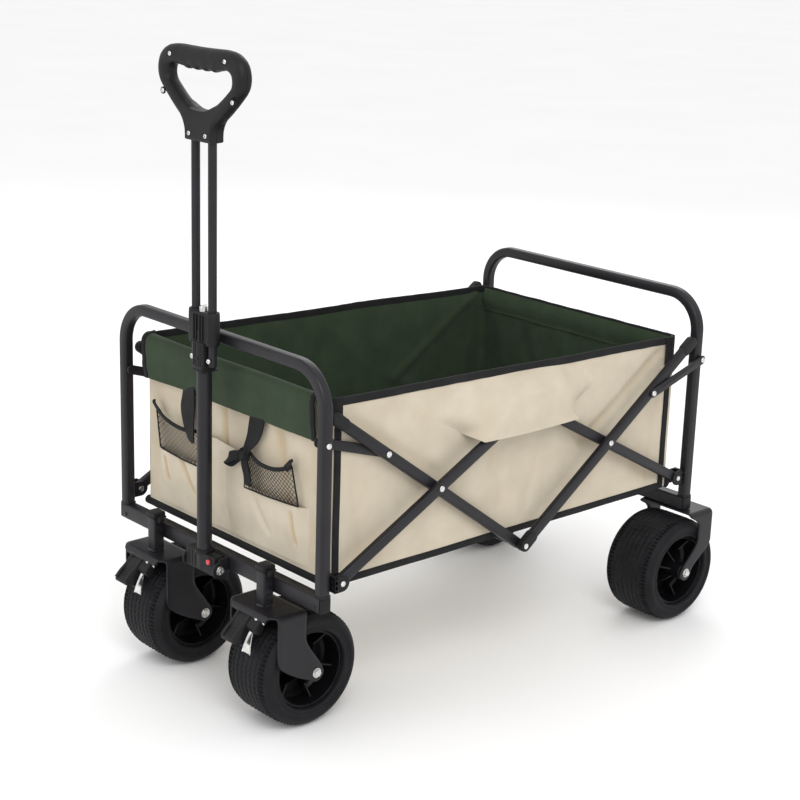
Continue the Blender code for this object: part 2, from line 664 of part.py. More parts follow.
def build_rod(side):
    y = SIDES[side] * ROD_Y
    bar = rod(ROD_R, (HANDLE_X, y, ROD_LOW_Z), (HANDLE_X, y, ROD_TOP_Z), 16)
    stop = rod(0.0040, (HANDLE_X, y, ROD_LOW_Z + 0.009), (HANDLE_X - 0.0095, y, ROD_LOW_Z + 0.009))
    piece(f"telescopic_rod_{side}", combine(bar, [stop]), PAINT, (HANDLE_X, y, ROD_LOW_Z))


def mirrored(half):
    """A closed outline from its half with u >= 0, listed bottom to top."""
    return half + [(-u, v) for u, v in reversed(half)]


def grip_outlines():
    """Outer edge and hand hole of the D-shaped grip, in Y and Z."""
    low = GRIP_LOW_Z
    outer = [(0.0300, low), (0.0310, low + 0.014), (0.0400, low + 0.026), (0.0760, low + 0.056)]
    outer += arc((0.0660, low + 0.0960), 0.0365, -30, 90, 8)
    outer[-1] = (0.0600, low + 0.1325)
    hole = [(0.0060, low + 0.0440), (0.0220, low + 0.0470), (0.0400, low + 0.0560)]
    hole += arc((0.0620, low + 0.0880), 0.0150, -30, 90, 6)
    return mirrored(outer), mirrored(hole)


def build_grip():
    """Two half shells that clamp the rods' upper ends, with their screws in the front one."""
    outer, hole = grip_outlines()
    x = HANDLE_X
    spans = {"front": (x - GRIP_HALF_X, x - GAP / 2), "rear": (x + GAP / 2, x + GRIP_HALF_X)}
    for name, (low, high) in spans.items():
        shell = plate("yz", outer, low, high, holes=[hole])
        if name == "front":
            heads = []
            for across in SIDES.values():
                for y, up in GRIP_SCREWS:
                    centre = (low, across * y, GRIP_LOW_Z + up)
                    heads.append(rod(0.0035, (low - 0.0012, *centre[1:]), (low + 0.002, *centre[1:]), 8))
            shell = combine(shell, heads)
        sockets = []
        for across in SIDES.values():
            y = across * ROD_Y
            sockets.append(rod(ROD_R + GAP, (x, y, GRIP_LOW_Z - 0.01), (x, y, ROD_TOP_Z + 0.0005), 16))
        piece(f"grip_{name}_half", cut(shell, sockets), PLASTIC, (x, 0, GRIP_LOW_Z))


# ---------------------------------------------------------------- basket

def build_basket():
    """Plain cloth panels that stand in for the sewn basket."""
    inset = CLOTH + 0.0005
    floor_low = (-WALL_X + inset, -SHELL_Y + inset, FLOOR_Z)
    floor_high = (WALL_X - inset, SHELL_Y - inset, FLOOR_Z + FLOOR_THICK)
    piece("basket_floor", box(floor_low, floor_high), BEIGE)
    outline = [(-WALL_X, WALL_LOW_Z), (WALL_X, WALL_LOW_Z)]
    outline += [(WALL_X, RIM_Z["rear"]), (-WALL_X, RIM_Z["front"])]
    for side, across in SIDES.items():
        faces = sorted((across * (SHELL_Y - CLOTH), across * SHELL_Y))
        piece(f"basket_side_{side}", plate("xz", outline, *faces), BEIGE)
    inside = SHELL_Y - CLOTH - GAP
    low_z = FLOOR_BAR_Z + FLOOR_BAR_R + GAP
    rear = box((WALL_X - CLOTH, -inside, low_z), (WALL_X, inside, RIM_Z["rear"]))
    piece("basket_rear_wall", rear, BEIGE)
    top = RIM_Z["front"]
    front = box((-WALL_X, -inside, low_z), (-WALL_X + CLOTH, inside, top))
    rim_low, rim_high = (FLAP_X[0] + 0.002, -FLAP_HALF_Y, top - 0.006), (-WALL_X + 0.001, FLAP_HALF_Y, top)
    flap_low, flap_high = (FLAP_X[0], -FLAP_HALF_Y, FLAP_LOW_Z), (FLAP_X[1], FLAP_HALF_Y, top)
    extras = [box(rim_low, rim_high), box(flap_low, flap_high)]
    piece("basket_front_wall", combine(front, extras), BEIGE)


section = hoop_profile()
for end in ENDS:
    build_hoop(end, section)
    build_beam(end)
    build_floor_bar(end)
    for side in SIDES:
        build_pivot_bracket(end, side)
        build_riser(end, side)
        build_diagonal(end, side)
        build_link(end, side)
        build_wheel(end, side)
        build_axle(end, side)
        build_fork(end, side)
build_middle_floor_bar()
for side in SIDES:
    build_caster_post(side)
    build_brake_pedal(side)
    build_rod(side)
build_handle_bracket()
build_handle_base()
build_handle_tube()
build_collar()
build_grip()
build_basket()
bpy.context.view_layer.update()
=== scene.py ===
"""The looks of the folding beach cart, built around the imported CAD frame.

X is the length (the handle end is -X), Y the width, Z up, the floor at Z = 0. Metres.
Places come from the frame: its nodes' boxes and its joints' pivots.
"""
import json
import math

import bmesh
import bpy
from mathutils import Matrix, Vector, noise


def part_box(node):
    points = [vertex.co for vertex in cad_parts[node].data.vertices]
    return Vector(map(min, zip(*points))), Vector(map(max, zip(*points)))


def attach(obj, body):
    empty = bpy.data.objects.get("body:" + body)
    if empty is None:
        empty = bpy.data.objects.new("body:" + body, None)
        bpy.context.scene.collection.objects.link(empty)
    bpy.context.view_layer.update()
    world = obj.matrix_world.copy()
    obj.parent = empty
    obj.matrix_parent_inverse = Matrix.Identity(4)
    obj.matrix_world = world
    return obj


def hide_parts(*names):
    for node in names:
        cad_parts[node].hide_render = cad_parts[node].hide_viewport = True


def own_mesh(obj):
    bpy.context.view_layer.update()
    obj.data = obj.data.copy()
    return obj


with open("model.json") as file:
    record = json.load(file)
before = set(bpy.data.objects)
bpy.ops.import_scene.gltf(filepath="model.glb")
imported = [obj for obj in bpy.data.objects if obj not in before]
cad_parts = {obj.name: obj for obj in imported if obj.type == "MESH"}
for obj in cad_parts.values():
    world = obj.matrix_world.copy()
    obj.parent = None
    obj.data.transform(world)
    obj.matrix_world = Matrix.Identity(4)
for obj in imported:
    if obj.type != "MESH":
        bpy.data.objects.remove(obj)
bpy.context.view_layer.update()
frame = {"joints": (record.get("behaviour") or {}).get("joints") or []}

ENDS = {"front": -1, "rear": 1}
SIDES = {"left": -1, "right": 1}   # left and right of someone who pulls the cart


# ---------------------------------------------------------------- places, read from the frame

def low(node):
    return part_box(node)[0]


def high(node):
    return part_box(node)[1]


def middle(node):
    return (low(node) + high(node)) / 2


PIVOT = {joint["name"]: Vector(joint["pos_m"]) for joint in frame["joints"] if "pos_m" in joint}
CENTRE_X = (middle("front_beam").x + middle("rear_beam").x) / 2
HOOP_X = middle("rear_beam").x - CENTRE_X
HOOP_Y = high("rear_hoop").y - 0.009
HOOP_TOP_Z = high("rear_hoop").z - 0.009
HOOP_BEND = 0.060
TUBE = 0.018

CORNER = PIVOT["fold"]                    # lower rear pivot, in the inner layer
TOP_MIDDLE = PIVOT["top_middle_right"]    # upper middle pivot, in the outer layer
CROSS = PIVOT["rear_cross_right"]
LEG_LINK = PIVOT["rear_link_right"]
LOW_MIDDLE_Z = middle("middle_floor_bar").z
LAYER_Y = {"inner": CORNER.y, "outer": TOP_MIDDLE.y}
RISER_LAYER = {"front": "outer", "rear": "inner"}
DIAGONAL_LAYER = {"front": "inner", "rear": "outer"}
BAR_HALF = 0.0085
BAR_THICK = 0.012
REACH_X = CORNER.x - CENTRE_X             # from the middle to the corner pivots
DIAGONAL_RISE = (CROSS.z - LOW_MIDDLE_Z) / (CROSS.x - CENTRE_X)
LINK_HALF = 0.0075
LINK_FACE = {"front": 0.2340, "rear": 0.2640}     # Y of a link's inner face
LINK_THICK = 0.003
LINK_FAR_X = low("rear_link_right").x + LINK_HALF - CENTRE_X
LINK_FAR_Z = LOW_MIDDLE_Z + LINK_FAR_X * DIAGONAL_RISE

HANDLE = PIVOT["handle_tilt"]
WALL_X = high("basket_side_right").x - CENTRE_X
SHELL_Y = high("basket_side_right").y
RIM_Z = 0.524                             # top of the basket's rim at the handle end
RIM_DROP = 0.018                          # how much lower it is at the rear
HEM_Z = low("basket_side_right").z
CLOTH = 0.0016


def at(x, y, z):
    """A point given from the middle of the cart."""
    return Vector((CENTRE_X + x, y, z))


def rim_z(x):
    return RIM_Z - RIM_DROP * (x + WALL_X) / (2 * WALL_X)


def ease(t):
    """0 to 1 with a soft start and end."""
    t = min(max(t, 0.0), 1.0)
    return t * t * (3 - 2 * t)


def mix(a, b, t):
    return a + (b - a) * t


# ---------------------------------------------------------------- finishes

class Finish:
    """A procedural material: a Principled shader fed by noises and weaves in the piece's own space."""

    def __init__(self, name, roughness, metallic=0.0, coat=0.0, sheen=0.0, shine=0.5):
        self.material = bpy.data.materials.new(name)
        self.material.use_nodes = True
        self.tree = self.material.node_tree
        self.shader = self.tree.nodes["Principled BSDF"]
        self.shader.inputs["Roughness"].default_value = roughness
        self.shader.inputs["Metallic"].default_value = metallic
        self.shader.inputs["Specular IOR Level"].default_value = shine
        self.shader.inputs["Coat Weight"].default_value = coat
        self.shader.inputs["Coat Roughness"].default_value = 0.25
        self.shader.inputs["Sheen Weight"].default_value = sheen
        self.shader.inputs["Sheen Roughness"].default_value = 0.6
        self.place = self.tree.nodes.new("ShaderNodeTexCoord").outputs["Object"]
        self.normal = None

    def node(self, kind, inputs=None, **settings):
        made = self.tree.nodes.new(kind)
        for key, value in settings.items():
            setattr(made, key, value)
        for key, value in (inputs or {}).items():
            if isinstance(value, bpy.types.NodeSocket):
                self.tree.links.new(value, made.inputs[key])
            else:
                made.inputs[key].default_value = value
        return made

    def math(self, operation, *values):
        return self.node("ShaderNodeMath", dict(enumerate(values)), operation=operation).outputs[0]

    def noise(self, scale, detail=3.0):
        made = self.node("ShaderNodeTexNoise", {"Vector": self.place, "Scale": scale, "Detail": detail})
        return made.outputs["Fac"]

    def colour(self, factor, stops):
        """Base colour read along factor from stops of (place, colour)."""
        ramp = self.node("ShaderNodeValToRGB", {"Fac": factor})
        elements = ramp.color_ramp.elements
        while len(elements) < len(stops):
            elements.new(0.5)
        for element, (place, colour) in zip(elements, stops):
            element.position = place
            element.color = (*colour, 1.0)
        return ramp.outputs["Color"]

    def tint(self, base, other, factor):
        made = self.node("ShaderNodeMix", data_type="RGBA")
        for key, value in ((0, factor), (6, base), (7, other)):
            if isinstance(value, bpy.types.NodeSocket):
                self.tree.links.new(value, made.inputs[key])
            else:
                made.inputs[key].default_value = value if key == 0 else (*value, 1.0)
        return made.outputs[2]

    def paint(self, colour):
        self.tree.links.new(colour, self.shader.inputs["Base Color"])

    def rough(self, factor, smooth, dull):
        made = self.node("ShaderNodeMapRange", {"Value": factor, "To Min": smooth, "To Max": dull})
        self.tree.links.new(made.outputs["Result"], self.shader.inputs["Roughness"])

    def bump(self, height, distance, strength=1.0):
        settings = {"Height": height, "Distance": distance, "Strength": strength}
        made = self.node("ShaderNodeBump", settings)
        if self.normal:
            self.tree.links.new(self.normal, made.inputs["Normal"])
        self.normal = made.outputs["Normal"]
        self.tree.links.new(self.normal, self.shader.inputs["Normal"])

    def weave(self, pitch):
        """The bumps of a plain weave, 0 to 1, laid along whichever plane the cloth faces."""
        spots = self.node("ShaderNodeSeparateXYZ", {"Vector": self.place}).outputs
        facing = self.node("ShaderNodeNewGeometry").outputs["Normal"]
        faces = [self.math("ABSOLUTE", axis) for axis in
                 self.node("ShaderNodeSeparateXYZ", {"Vector": facing}).outputs]
        sideways = self.math("GREATER_THAN", faces[1], faces[0])
        upward = self.math("GREATER_THAN", faces[2], 0.72)
        level = self.node("ShaderNodeMix", {0: sideways, 2: spots[1], 3: spots[0]}).outputs[0]
        level = self.node("ShaderNodeMix", {0: upward, 2: level, 3: spots[0]}).outputs[0]
        rise = self.node("ShaderNodeMix", {0: upward, 2: spots[2], 3: spots[1]}).outputs[0]
        turns = 2 * math.pi / pitch
        warp = self.math("SINE", self.math("MULTIPLY", level, turns))
        weft = self.math("SINE", self.math("MULTIPLY", rise, turns))
        return self.math("MULTIPLY_ADD", self.math("MULTIPLY", warp, weft), 0.5, 0.5)


def plain(name, tones, dullness, grain, **looks):
    """A finish of one colour that wanders a little. looks go to Finish.

    tones = (noise scale, dark, light), dullness = (noise scale, smooth, dull) or None, and
    grain = (noise scale, noise detail, depth of the bumps, their strength).
    """
    made = Finish(name, **looks)
    scale, dark, light = tones
    made.paint(made.colour(made.noise(scale), [(0.3, dark), (0.7, light)]))
    if dullness:
        scale, smooth, dull = dullness
        made.rough(made.noise(scale), smooth, dull)
    scale, detail, depth, strength = grain
    made.bump(made.noise(scale, detail), depth, strength)
    return made.material


def tyre_rubber():
    """Matt rubber, a little greyer where dust lies."""
    rubber = Finish("tyre_rubber", 0.6, shine=0.16)
    dust = rubber.noise(38.0, 6.0)
    rubber.paint(rubber.colour(dust, [(0.35, (0.007, 0.007, 0.008)), (0.62, (0.011, 0.011, 0.013)),
                                      (0.8, (0.019, 0.019, 0.021))]))
    rubber.rough(dust, 0.48, 0.72)
    rubber.bump(rubber.noise(650.0, 3.0), 0.0002, 0.6)
    return rubber.material


def canvas(name, light, dark, fold_shadow_tone):
    """Woven cloth: mottled yarn, a plain weave, and painted shade in the folds.

    A float attribute of the mesh says how much painted fold shade a point gets, from 0 to 1, more the deeper
    it lies in a fold.
    """
    cloth = Finish(name, 0.85, sheen=0.05, shine=0.15)
    mottle = cloth.noise(24.0, 5.0)
    base = cloth.colour(mottle, [(0.3, dark), (0.7, light)])
    # Painted shade: the folds are tinted towards a warm dark tone that stands in for their shadow.
    fold_shade = cloth.node("ShaderNodeAttribute", attribute_name="fold_shade").outputs["Fac"]
    base = cloth.tint(base, fold_shadow_tone, cloth.math("MULTIPLY", fold_shade, 0.8))
    threads = cloth.weave(0.0013)
    shade = tuple(0.72 * channel for channel in dark)
    cloth.paint(cloth.tint(base, shade, cloth.math("MULTIPLY", threads, 0.22)))
    cloth.rough(cloth.noise(180.0), 0.78, 0.92)
    cloth.bump(cloth.noise(45.0, 4.0), 0.0012, 0.35)
    cloth.bump(threads, 0.00035, 0.5)
    return cloth.material


def webbing():
    """Black binding tape and webbing: fine ribs across a matt weave."""
    tape = Finish("black_webbing", 0.75, sheen=0.05, shine=0.12)
    tones = [(0.3, (0.006, 0.006, 0.007)), (0.7, (0.012, 0.012, 0.013))]
    tape.paint(tape.colour(tape.noise(30.0, 4.0), tones))
    tape.bump(tape.weave(0.0022), 0.0004, 0.7)
    tape.rough(tape.noise(220.0), 0.66, 0.86)
    return tape.material


PAINT = plain("powder_coated_steel", (9.0, (0.009, 0.008, 0.010), (0.016, 0.015, 0.018)),
              (60.0, 0.32, 0.46), (900.0, 2.0, 0.00012, 0.5), roughness=0.38, shine=0.28)
PLASTIC = plain("black_plastic", (14.0, (0.006, 0.006, 0.007), (0.011, 0.011, 0.012)),
                (90.0, 0.42, 0.58), (1500.0, 2.0, 0.00012, 0.6), roughness=0.5, shine=0.22)
# The hub's black plastic is made darker than the other black plastic, as painted shade for its deep dish.
HUB_SHADED = plain("hub_plastic_with_painted_shade", (11.0, (0.003, 0.003, 0.004), (0.007, 0.007, 0.008)),
            (70.0, 0.28, 0.42), (700.0, 2.0, 0.00008, 0.4), roughness=0.35, shine=0.22)
RUBBER = tyre_rubber()
ZINC = plain("zinc_plate", (120.0, (0.52, 0.52, 0.51), (0.80, 0.80, 0.78)),
             (300.0, 0.18, 0.36), (1200.0, 3.0, 0.00008, 0.4), roughness=0.25, metallic=1.0)
RED = plain("red_plastic", (160.0, (0.46, 0.014, 0.03), (0.62, 0.03, 0.05)),
            None, (900.0, 3.0, 0.0001, 0.4), roughness=0.3, coat=0.4)
# The third colour of each canvas is painted shade, laid into the folds.
BEIGE = canvas("beige_canvas", (0.60, 0.535, 0.425), (0.53, 0.465, 0.362), (0.47, 0.345, 0.19))
GREEN = canvas("green_canvas", (0.036, 0.058, 0.030), (0.025, 0.042, 0.021), (0.012, 0.019, 0.011))
TAPE = webbing()
NET = plain("black_net", (200.0, (0.006, 0.006, 0.007), (0.016, 0.016, 0.018)),
            None, (2500.0, 3.0, 0.0002, 0.6), roughness=0.65, shine=0.15)


# ---------------------------------------------------------------- shapes

def arc(centre, radius, start, stop, steps):
    """Points (u, v) on an arc, angles in degrees."""
    points = []
    for i in range(steps + 1):
        angle = math.radians(mix(start, stop, i / steps))
        points.append((centre[0] + radius * math.cos(angle), centre[1] + radius * math.sin(angle)))
    return points


def rounded(half_u, half_v, radius, steps=4):
    """A rectangle about the origin with round corners."""
    points = []
    for u, v, start in ((1, -1, -90), (1, 1, 0), (-1, 1, 90), (-1, -1, 180)):
        points += arc((u * (half_u - radius), v * (half_v - radius)), radius, start, start + 90, steps)
    return points


def stadium(a, b, radius, steps=12):
    turn = math.degrees(math.atan2(b[1] - a[1], b[0] - a[0]))
    return arc(b, radius, turn - 90, turn + 90, steps) + arc(a, radius, turn + 90, turn + 270, steps)


def smooth_line(points, steps=8, closed=False):
    """A Catmull-Rom curve through points of any dimension."""
    points = [Vector(p) for p in points]
    count = len(points)
    result = []
    for i in range(count if closed else count - 1):
        if closed:
            a, b, c, d = (points[(i + k) % count] for k in (-1, 0, 1, 2))
        else:
            b, c = points[i], points[i + 1]
            a = points[i - 1] if i else b - (c - b)
            d = points[i + 2] if i + 2 < count else c + (c - b)
        for k in range(steps):
            t = k / steps
            result.append(0.5 * (2 * b + (c - a) * t + (2 * a - 5 * b + 4 * c - d) * t * t
                                 + (3 * b - a - 3 * c + d) * t ** 3))
    if not closed:
        result.append(points[-1])
    return result


def inset(outline, distance):
    """The outline moved inwards by distance, with mitred corners; it runs anticlockwise."""
    moved = []
    count = len(outline)
    for i in range(count):
        before, here, after = (Vector(outline[(i + k) % count]) for k in (-1, 0, 1))
        first = (here - before).normalized()
        second = (after - here).normalized()
        n1, n2 = Vector((-first.y, first.x)), Vector((-second.y, second.x))
        moved.append(here + (n1 + n2) * (distance / max(1 + n1.dot(n2), 0.3)))
    return moved


def area(outline):
    return sum(a[0] * b[1] - b[0] * a[1] for a, b in zip(outline, outline[1:] + outline[:1])) / 2


PLANES = {  # turns a flat outline's u, v and the distance w across it into X, Y, Z
    "xz": lambda u, v, w: Vector((u, w, v)),
    "yz": lambda u, v, w: Vector((w, u, v)),
    "xy": lambda u, v, w: Vector((u, v, w)),
}


class Shape:
    """Gathers solids and sheets into the mesh of one piece."""

    def __init__(self, name):
        self.name = name
        self.work = bmesh.new()
        # How much painted fold shade each point gets.
        self.fold_shade = self.work.verts.layers.float.new("fold_shade")
        self.finishes = []

    def index(self, finish):
        if finish not in self.finishes:
            self.finishes.append(finish)
        return self.finishes.index(finish)

    def grid(self, rows, finish, wrap=False, close=False, caps=False, fold_shades=None):
        """Quads between rows of points. wrap joins each row's ends, close the last row to the first,
        and caps fills the first and last rows."""
        slot = self.index(finish)
        verts = [[self.work.verts.new(point) for point in row] for row in rows]
        # Each point may carry an amount of painted fold shade.
        if fold_shades:
            for vert_row, fold_shade_row in zip(verts, fold_shades):
                for vert, depth in zip(vert_row, fold_shade_row):
                    vert[self.fold_shade] = depth
        pairs = list(zip(verts, verts[1:]))
        if close:
            pairs.append((verts[-1], verts[0]))
        for near, far in pairs:
            count = len(near)
            for i in range(count if wrap else count - 1):
                j = (i + 1) % count
                self.work.faces.new((near[i], near[j], far[j], far[i])).material_index = slot
        if caps:
            for loop in (verts[0], verts[-1]):
                self.work.faces.new(loop).material_index = slot
        return verts

    def sweep(self, path, section, side, finish, closed=False, caps=True, scale=None):
        """Carries a closed section (u, v) along a path, with u along the direction side.
        scale(share of the path) may grow or shrink the section."""
        path = [Vector(point) for point in path]
        count = len(path)
        rows = []
        for i, point in enumerate(path):
            before = path[i - 1] if i or closed else point
            after = path[(i + 1) % count] if i < count - 1 or closed else point
            along = (after - before).normalized()
            across = (Vector(side) - along * Vector(side).dot(along)).normalized()
            up = along.cross(across)
            size = scale(i / (count - 1)) if scale else 1.0
            rows.append([point + across * (u * size) + up * (v * size) for u, v in section])
        self.grid(rows, finish, wrap=True, close=closed, caps=caps and not closed)

    def lathe(self, profile, centre, axis, finish, steps=32, ring=False, swell=None):
        """Turns a profile of (radius, distance along axis) about the axis through centre.
        swell(profile index, angle) adds to the radius."""
        turn = Vector(axis).to_track_quat("Z", "Y")
        rows = []
        for k, (radius, along) in enumerate(profile):
            row = []
            for i in range(steps):
                angle = 2 * math.pi * i / steps
                reach = radius + (swell(k, angle) if swell else 0.0)
                spot = Vector((reach * math.cos(angle), reach * math.sin(angle), along))
                row.append(Vector(centre) + turn @ spot)
            rows.append(row)
        self.grid(rows, finish, wrap=True, close=ring)

    def rod(self, spot, axis, radius, start, stop, finish, steps=24):
        """A plain round rod between two distances from spot along axis."""
        self.lathe([(0, start), (radius, start), (radius, stop), (0, stop)], spot, axis, finish, steps)

    def slab(self, plane, outline, start, stop, soft, finish, steps=3):
        """A flat outline thickened from start to stop, with edges rounded by soft."""
        outline = [tuple(point) for point in outline]
        if area(outline) < 0:
            outline.reverse()
        start, stop = sorted((start, stop))
        rows = []
        for k in range(steps + 1):
            angle = math.pi / 2 * k / steps
            rows.append((soft * (1 - math.sin(angle)), start + soft * (1 - math.cos(angle))))
        for k in range(steps + 1):
            angle = math.pi / 2 * k / steps
            rows.append((soft * (1 - math.cos(angle)), stop - soft * (1 - math.sin(angle))))
        place = PLANES[plane]
        points = [[place(p[0], p[1], w) for p in inset(outline, d)] for d, w in rows]
        self.grid(points, finish, wrap=True, caps=True)

    def block(self, corner, other, soft, finish, steps=3):
        """A box between two corners with rounded edges."""
        corner, other = Vector(corner), Vector(other)
        before = set(self.work.faces)
        size = Matrix.Diagonal((*[abs(d) for d in other - corner], 1))
        place = Matrix.Translation((corner + other) / 2) @ size
        made = bmesh.ops.create_cube(self.work, size=1, matrix=place)
        # Each edge once, in the order in which the corners give them.
        edges = list(dict.fromkeys(edge for vert in made["verts"] for edge in vert.link_edges))
        bmesh.ops.bevel(self.work, geom=edges, offset=soft, segments=steps, profile=0.5, affect="EDGES")
        slot = self.index(finish)
        for face in self.work.faces:
            if face not in before:
                face.material_index = slot

    def rivet(self, spot, axis, radius, height, finish=None):
        """A domed rivet head."""
        profile = [(0, -0.0006), (radius, -0.0006), (radius, 0.3 * height), (0.93 * radius, 0.6 * height),
                   (0.72 * radius, 0.85 * height), (0.4 * radius, 0.97 * height), (0, height)]
        self.lathe(profile, spot, axis, finish or ZINC, 20)

    def screw(self, spot, axis, radius, height):
        """A pan head with a driver socket."""
        profile = [(0, -0.0006), (radius, -0.0006), (radius, 0.35 * height), (0.9 * radius, 0.7 * height),
                   (0.65 * radius, 0.95 * height), (0.45 * radius, height), (0.4 * radius, 0.9 * height),
                   (0.34 * radius, 0.35 * height), (0, 0.35 * height)]
        self.lathe(profile, spot, axis, ZINC, 20)

    def hex_bolt(self, spot, axis, radius, height):
        """A washer, a hexagonal head with a chamfer, and a dimple in it."""
        thin = 0.25 * height
        washer = [(0, -0.0006), (1.25 * radius, -0.0006), (1.25 * radius, 0.7 * thin),
                  (1.18 * radius, thin), (0, thin)]
        self.lathe(washer, spot, axis, ZINC, 24)
        head = [(0, thin), (radius, thin), (radius, 0.85 * height), (0.86 * radius, height),
                (0.5 * radius, height), (0.4 * radius, 0.86 * height), (0, 0.86 * height)]
        self.lathe(head, spot, axis, ZINC, 6)

    def done(self, body, replaces=(), sharp=38, sheet=None):
        """Makes the piece and hangs it on a CAD body. sheet = (thickness, inner finish, edge finish,
        outward direction) turns an open sheet into cloth with a lining."""
        bmesh.ops.remove_doubles(self.work, verts=self.work.verts, dist=2e-6)
        if sheet is None:
            bmesh.ops.recalc_face_normals(self.work, faces=self.work.faces)
        else:
            outward = Vector(sheet[3])
            self.work.normal_update()
            if sum(face.normal.dot(outward) * face.calc_area() for face in self.work.faces) < 0:
                bmesh.ops.reverse_faces(self.work, faces=self.work.faces)
        if sheet:
            inner, edge = self.index(sheet[1]), self.index(sheet[2])
        mesh = bpy.data.meshes.new(self.name)
        self.work.to_mesh(mesh)
        self.work.free()
        made = bpy.data.objects.new(self.name, mesh)
        bpy.context.scene.collection.objects.link(made)
        for finish in self.finishes:
            mesh.materials.append(finish)
        if sheet:
            thicken = made.modifiers.new("cloth", "SOLIDIFY")
            thicken.thickness = sheet[0]
            thicken.offset = -1
            thicken.use_quality_normals = True
            thicken.material_offset = inner
            thicken.material_offset_rim = edge
            settle(made)
        made.data.shade_smooth()
        made.data.set_sharp_from_angle(angle=math.radians(sharp))
        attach(made, body)
        if replaces:
            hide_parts(*replaces)
        return made


def settle(made):
    """Replaces an object's mesh by what its modifiers make of it."""
    graph = bpy.context.evaluated_depsgraph_get()
    mesh = bpy.data.meshes.new_from_object(made.evaluated_get(graph))
    mesh.name = made.name
    made.modifiers.clear()
    made.data = mesh


def woven(columns, levels, spot):
    """Rows of what spot(share along a row, share across the rows) gives."""
    return [[spot(i / columns, j / levels) for i in range(columns + 1)] for j in range(levels + 1)]


def unpaired(rows):
    """Rows of (point, painted fold shade) as rows of points and rows of shade amounts."""
    return [[[pair[k] for pair in row] for row in rows] for k in (0, 1)]


def declare_cloth(rows):
    """Measures the cut of a sheet of cloth along the grid it is made from; nothing is done with the sizes.

    The first row is an edge with no step or scoop in it, so it gives the width. It may go round a
    corner. The longest column gives the length.
    """

    def run(points):
        return sum((b - a).length for a, b in zip(points, points[1:]))

    width = run(rows[0])
    length = max(run(column) for column in zip(*rows))
    for first, second in zip(rows, rows[1:]):
        for a, b, c, d in zip(first, first[1:], second[1:], second):
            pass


# ---------------------------------------------------------------- frame

def build_hoop(end):
    """Bent square tube with bolts where the links meet the legs."""
    shape = Shape(f"{end}_hoop_tube")
    x = ENDS[end] * HOOP_X
    bend_y, bend_z = HOOP_Y - HOOP_BEND, HOOP_TOP_Z - HOOP_BEND
    foot = low(f"{end}_hoop").z
    path = [(-HOOP_Y, foot), (-HOOP_Y, mix(foot, bend_z, 0.5))]
    path += arc((-bend_y, bend_z), HOOP_BEND, 180, 90, 20) + arc((bend_y, bend_z), HOOP_BEND, 90, 0, 20)
    path += [(HOOP_Y, mix(foot, bend_z, 0.5)), (HOOP_Y, foot)]
    shape.sweep([at(x, y, z) for y, z in path], rounded(TUBE / 2, TUBE / 2, 0.005, 5), (1, 0, 0), PAINT)
    for across in SIDES.values():
        outside = across * (HOOP_Y + TUBE / 2)
        if end == "front":
            shape.rivet(at(x, outside, LEG_LINK.z), (0, across, 0), 0.0046, 0.0026)
        # A weld bead round the leg's foot.
        shape.sweep([at(x, across * HOOP_Y, foot + 0.0008) + Vector((u, v, 0)) for u, v in
                     rounded(TUBE / 2 + 0.0004, TUBE / 2 + 0.0004, 0.005, 5)],
                    arc((0, 0), 0.0012, 0, 315, 7), (0, 0, 1), PAINT, closed=True)
    shape.done(f"{end}_frame", [f"{end}_hoop"])


def build_beam(end):
    """Lower cross tube with plastic plugs in its ends and bolt heads at the legs."""
    node = f"{end}_beam"
    shape = Shape(f"{end}_cross_tube")
    spot, reach = middle(node), high(node).y
    half_x, half_z = spot.x - low(node).x, spot.z - low(node).z
    plug = 0.0035
    shape.sweep([(spot.x, -reach + plug, spot.z), (spot.x, 0, spot.z), (spot.x, reach - plug, spot.z)],
                rounded(half_x, half_z, 0.003, 4), (1, 0, 0), PAINT)
    for across in SIDES.values():
        inner, outer = across * (reach - plug - 0.001), across * reach
        shape.block((spot.x - half_x + 0.0008, min(inner, outer), spot.z - half_z + 0.0008),
                    (spot.x + half_x - 0.0008, max(inner, outer), spot.z + half_z - 0.0008),
                    0.0012, PLASTIC)
        head = (spot.x + ENDS[end] * half_x, across * (reach - 0.016), spot.z - 0.004)
        shape.rivet(head, (ENDS[end], 0, 0), 0.0034, 0.0018, PAINT)
    shape.done(f"{end}_frame", [node])


def build_floor_bar(node, body):
    """Round bar in the basket's hem, with pressed-in ends."""
    shape = Shape(f"{node}_rod")
    spot, reach = middle(node), high(node).y
    radius = high(node).z - spot.z
    profile = [(0, -reach), (radius - 0.0012, -reach), (radius, -reach + 0.0012), (radius, 0),
               (radius, reach - 0.0012), (radius - 0.0012, reach), (0, reach)]
    shape.lathe(profile, spot, (0, 1, 0), PAINT, 24)
    shape.done(body, [node])


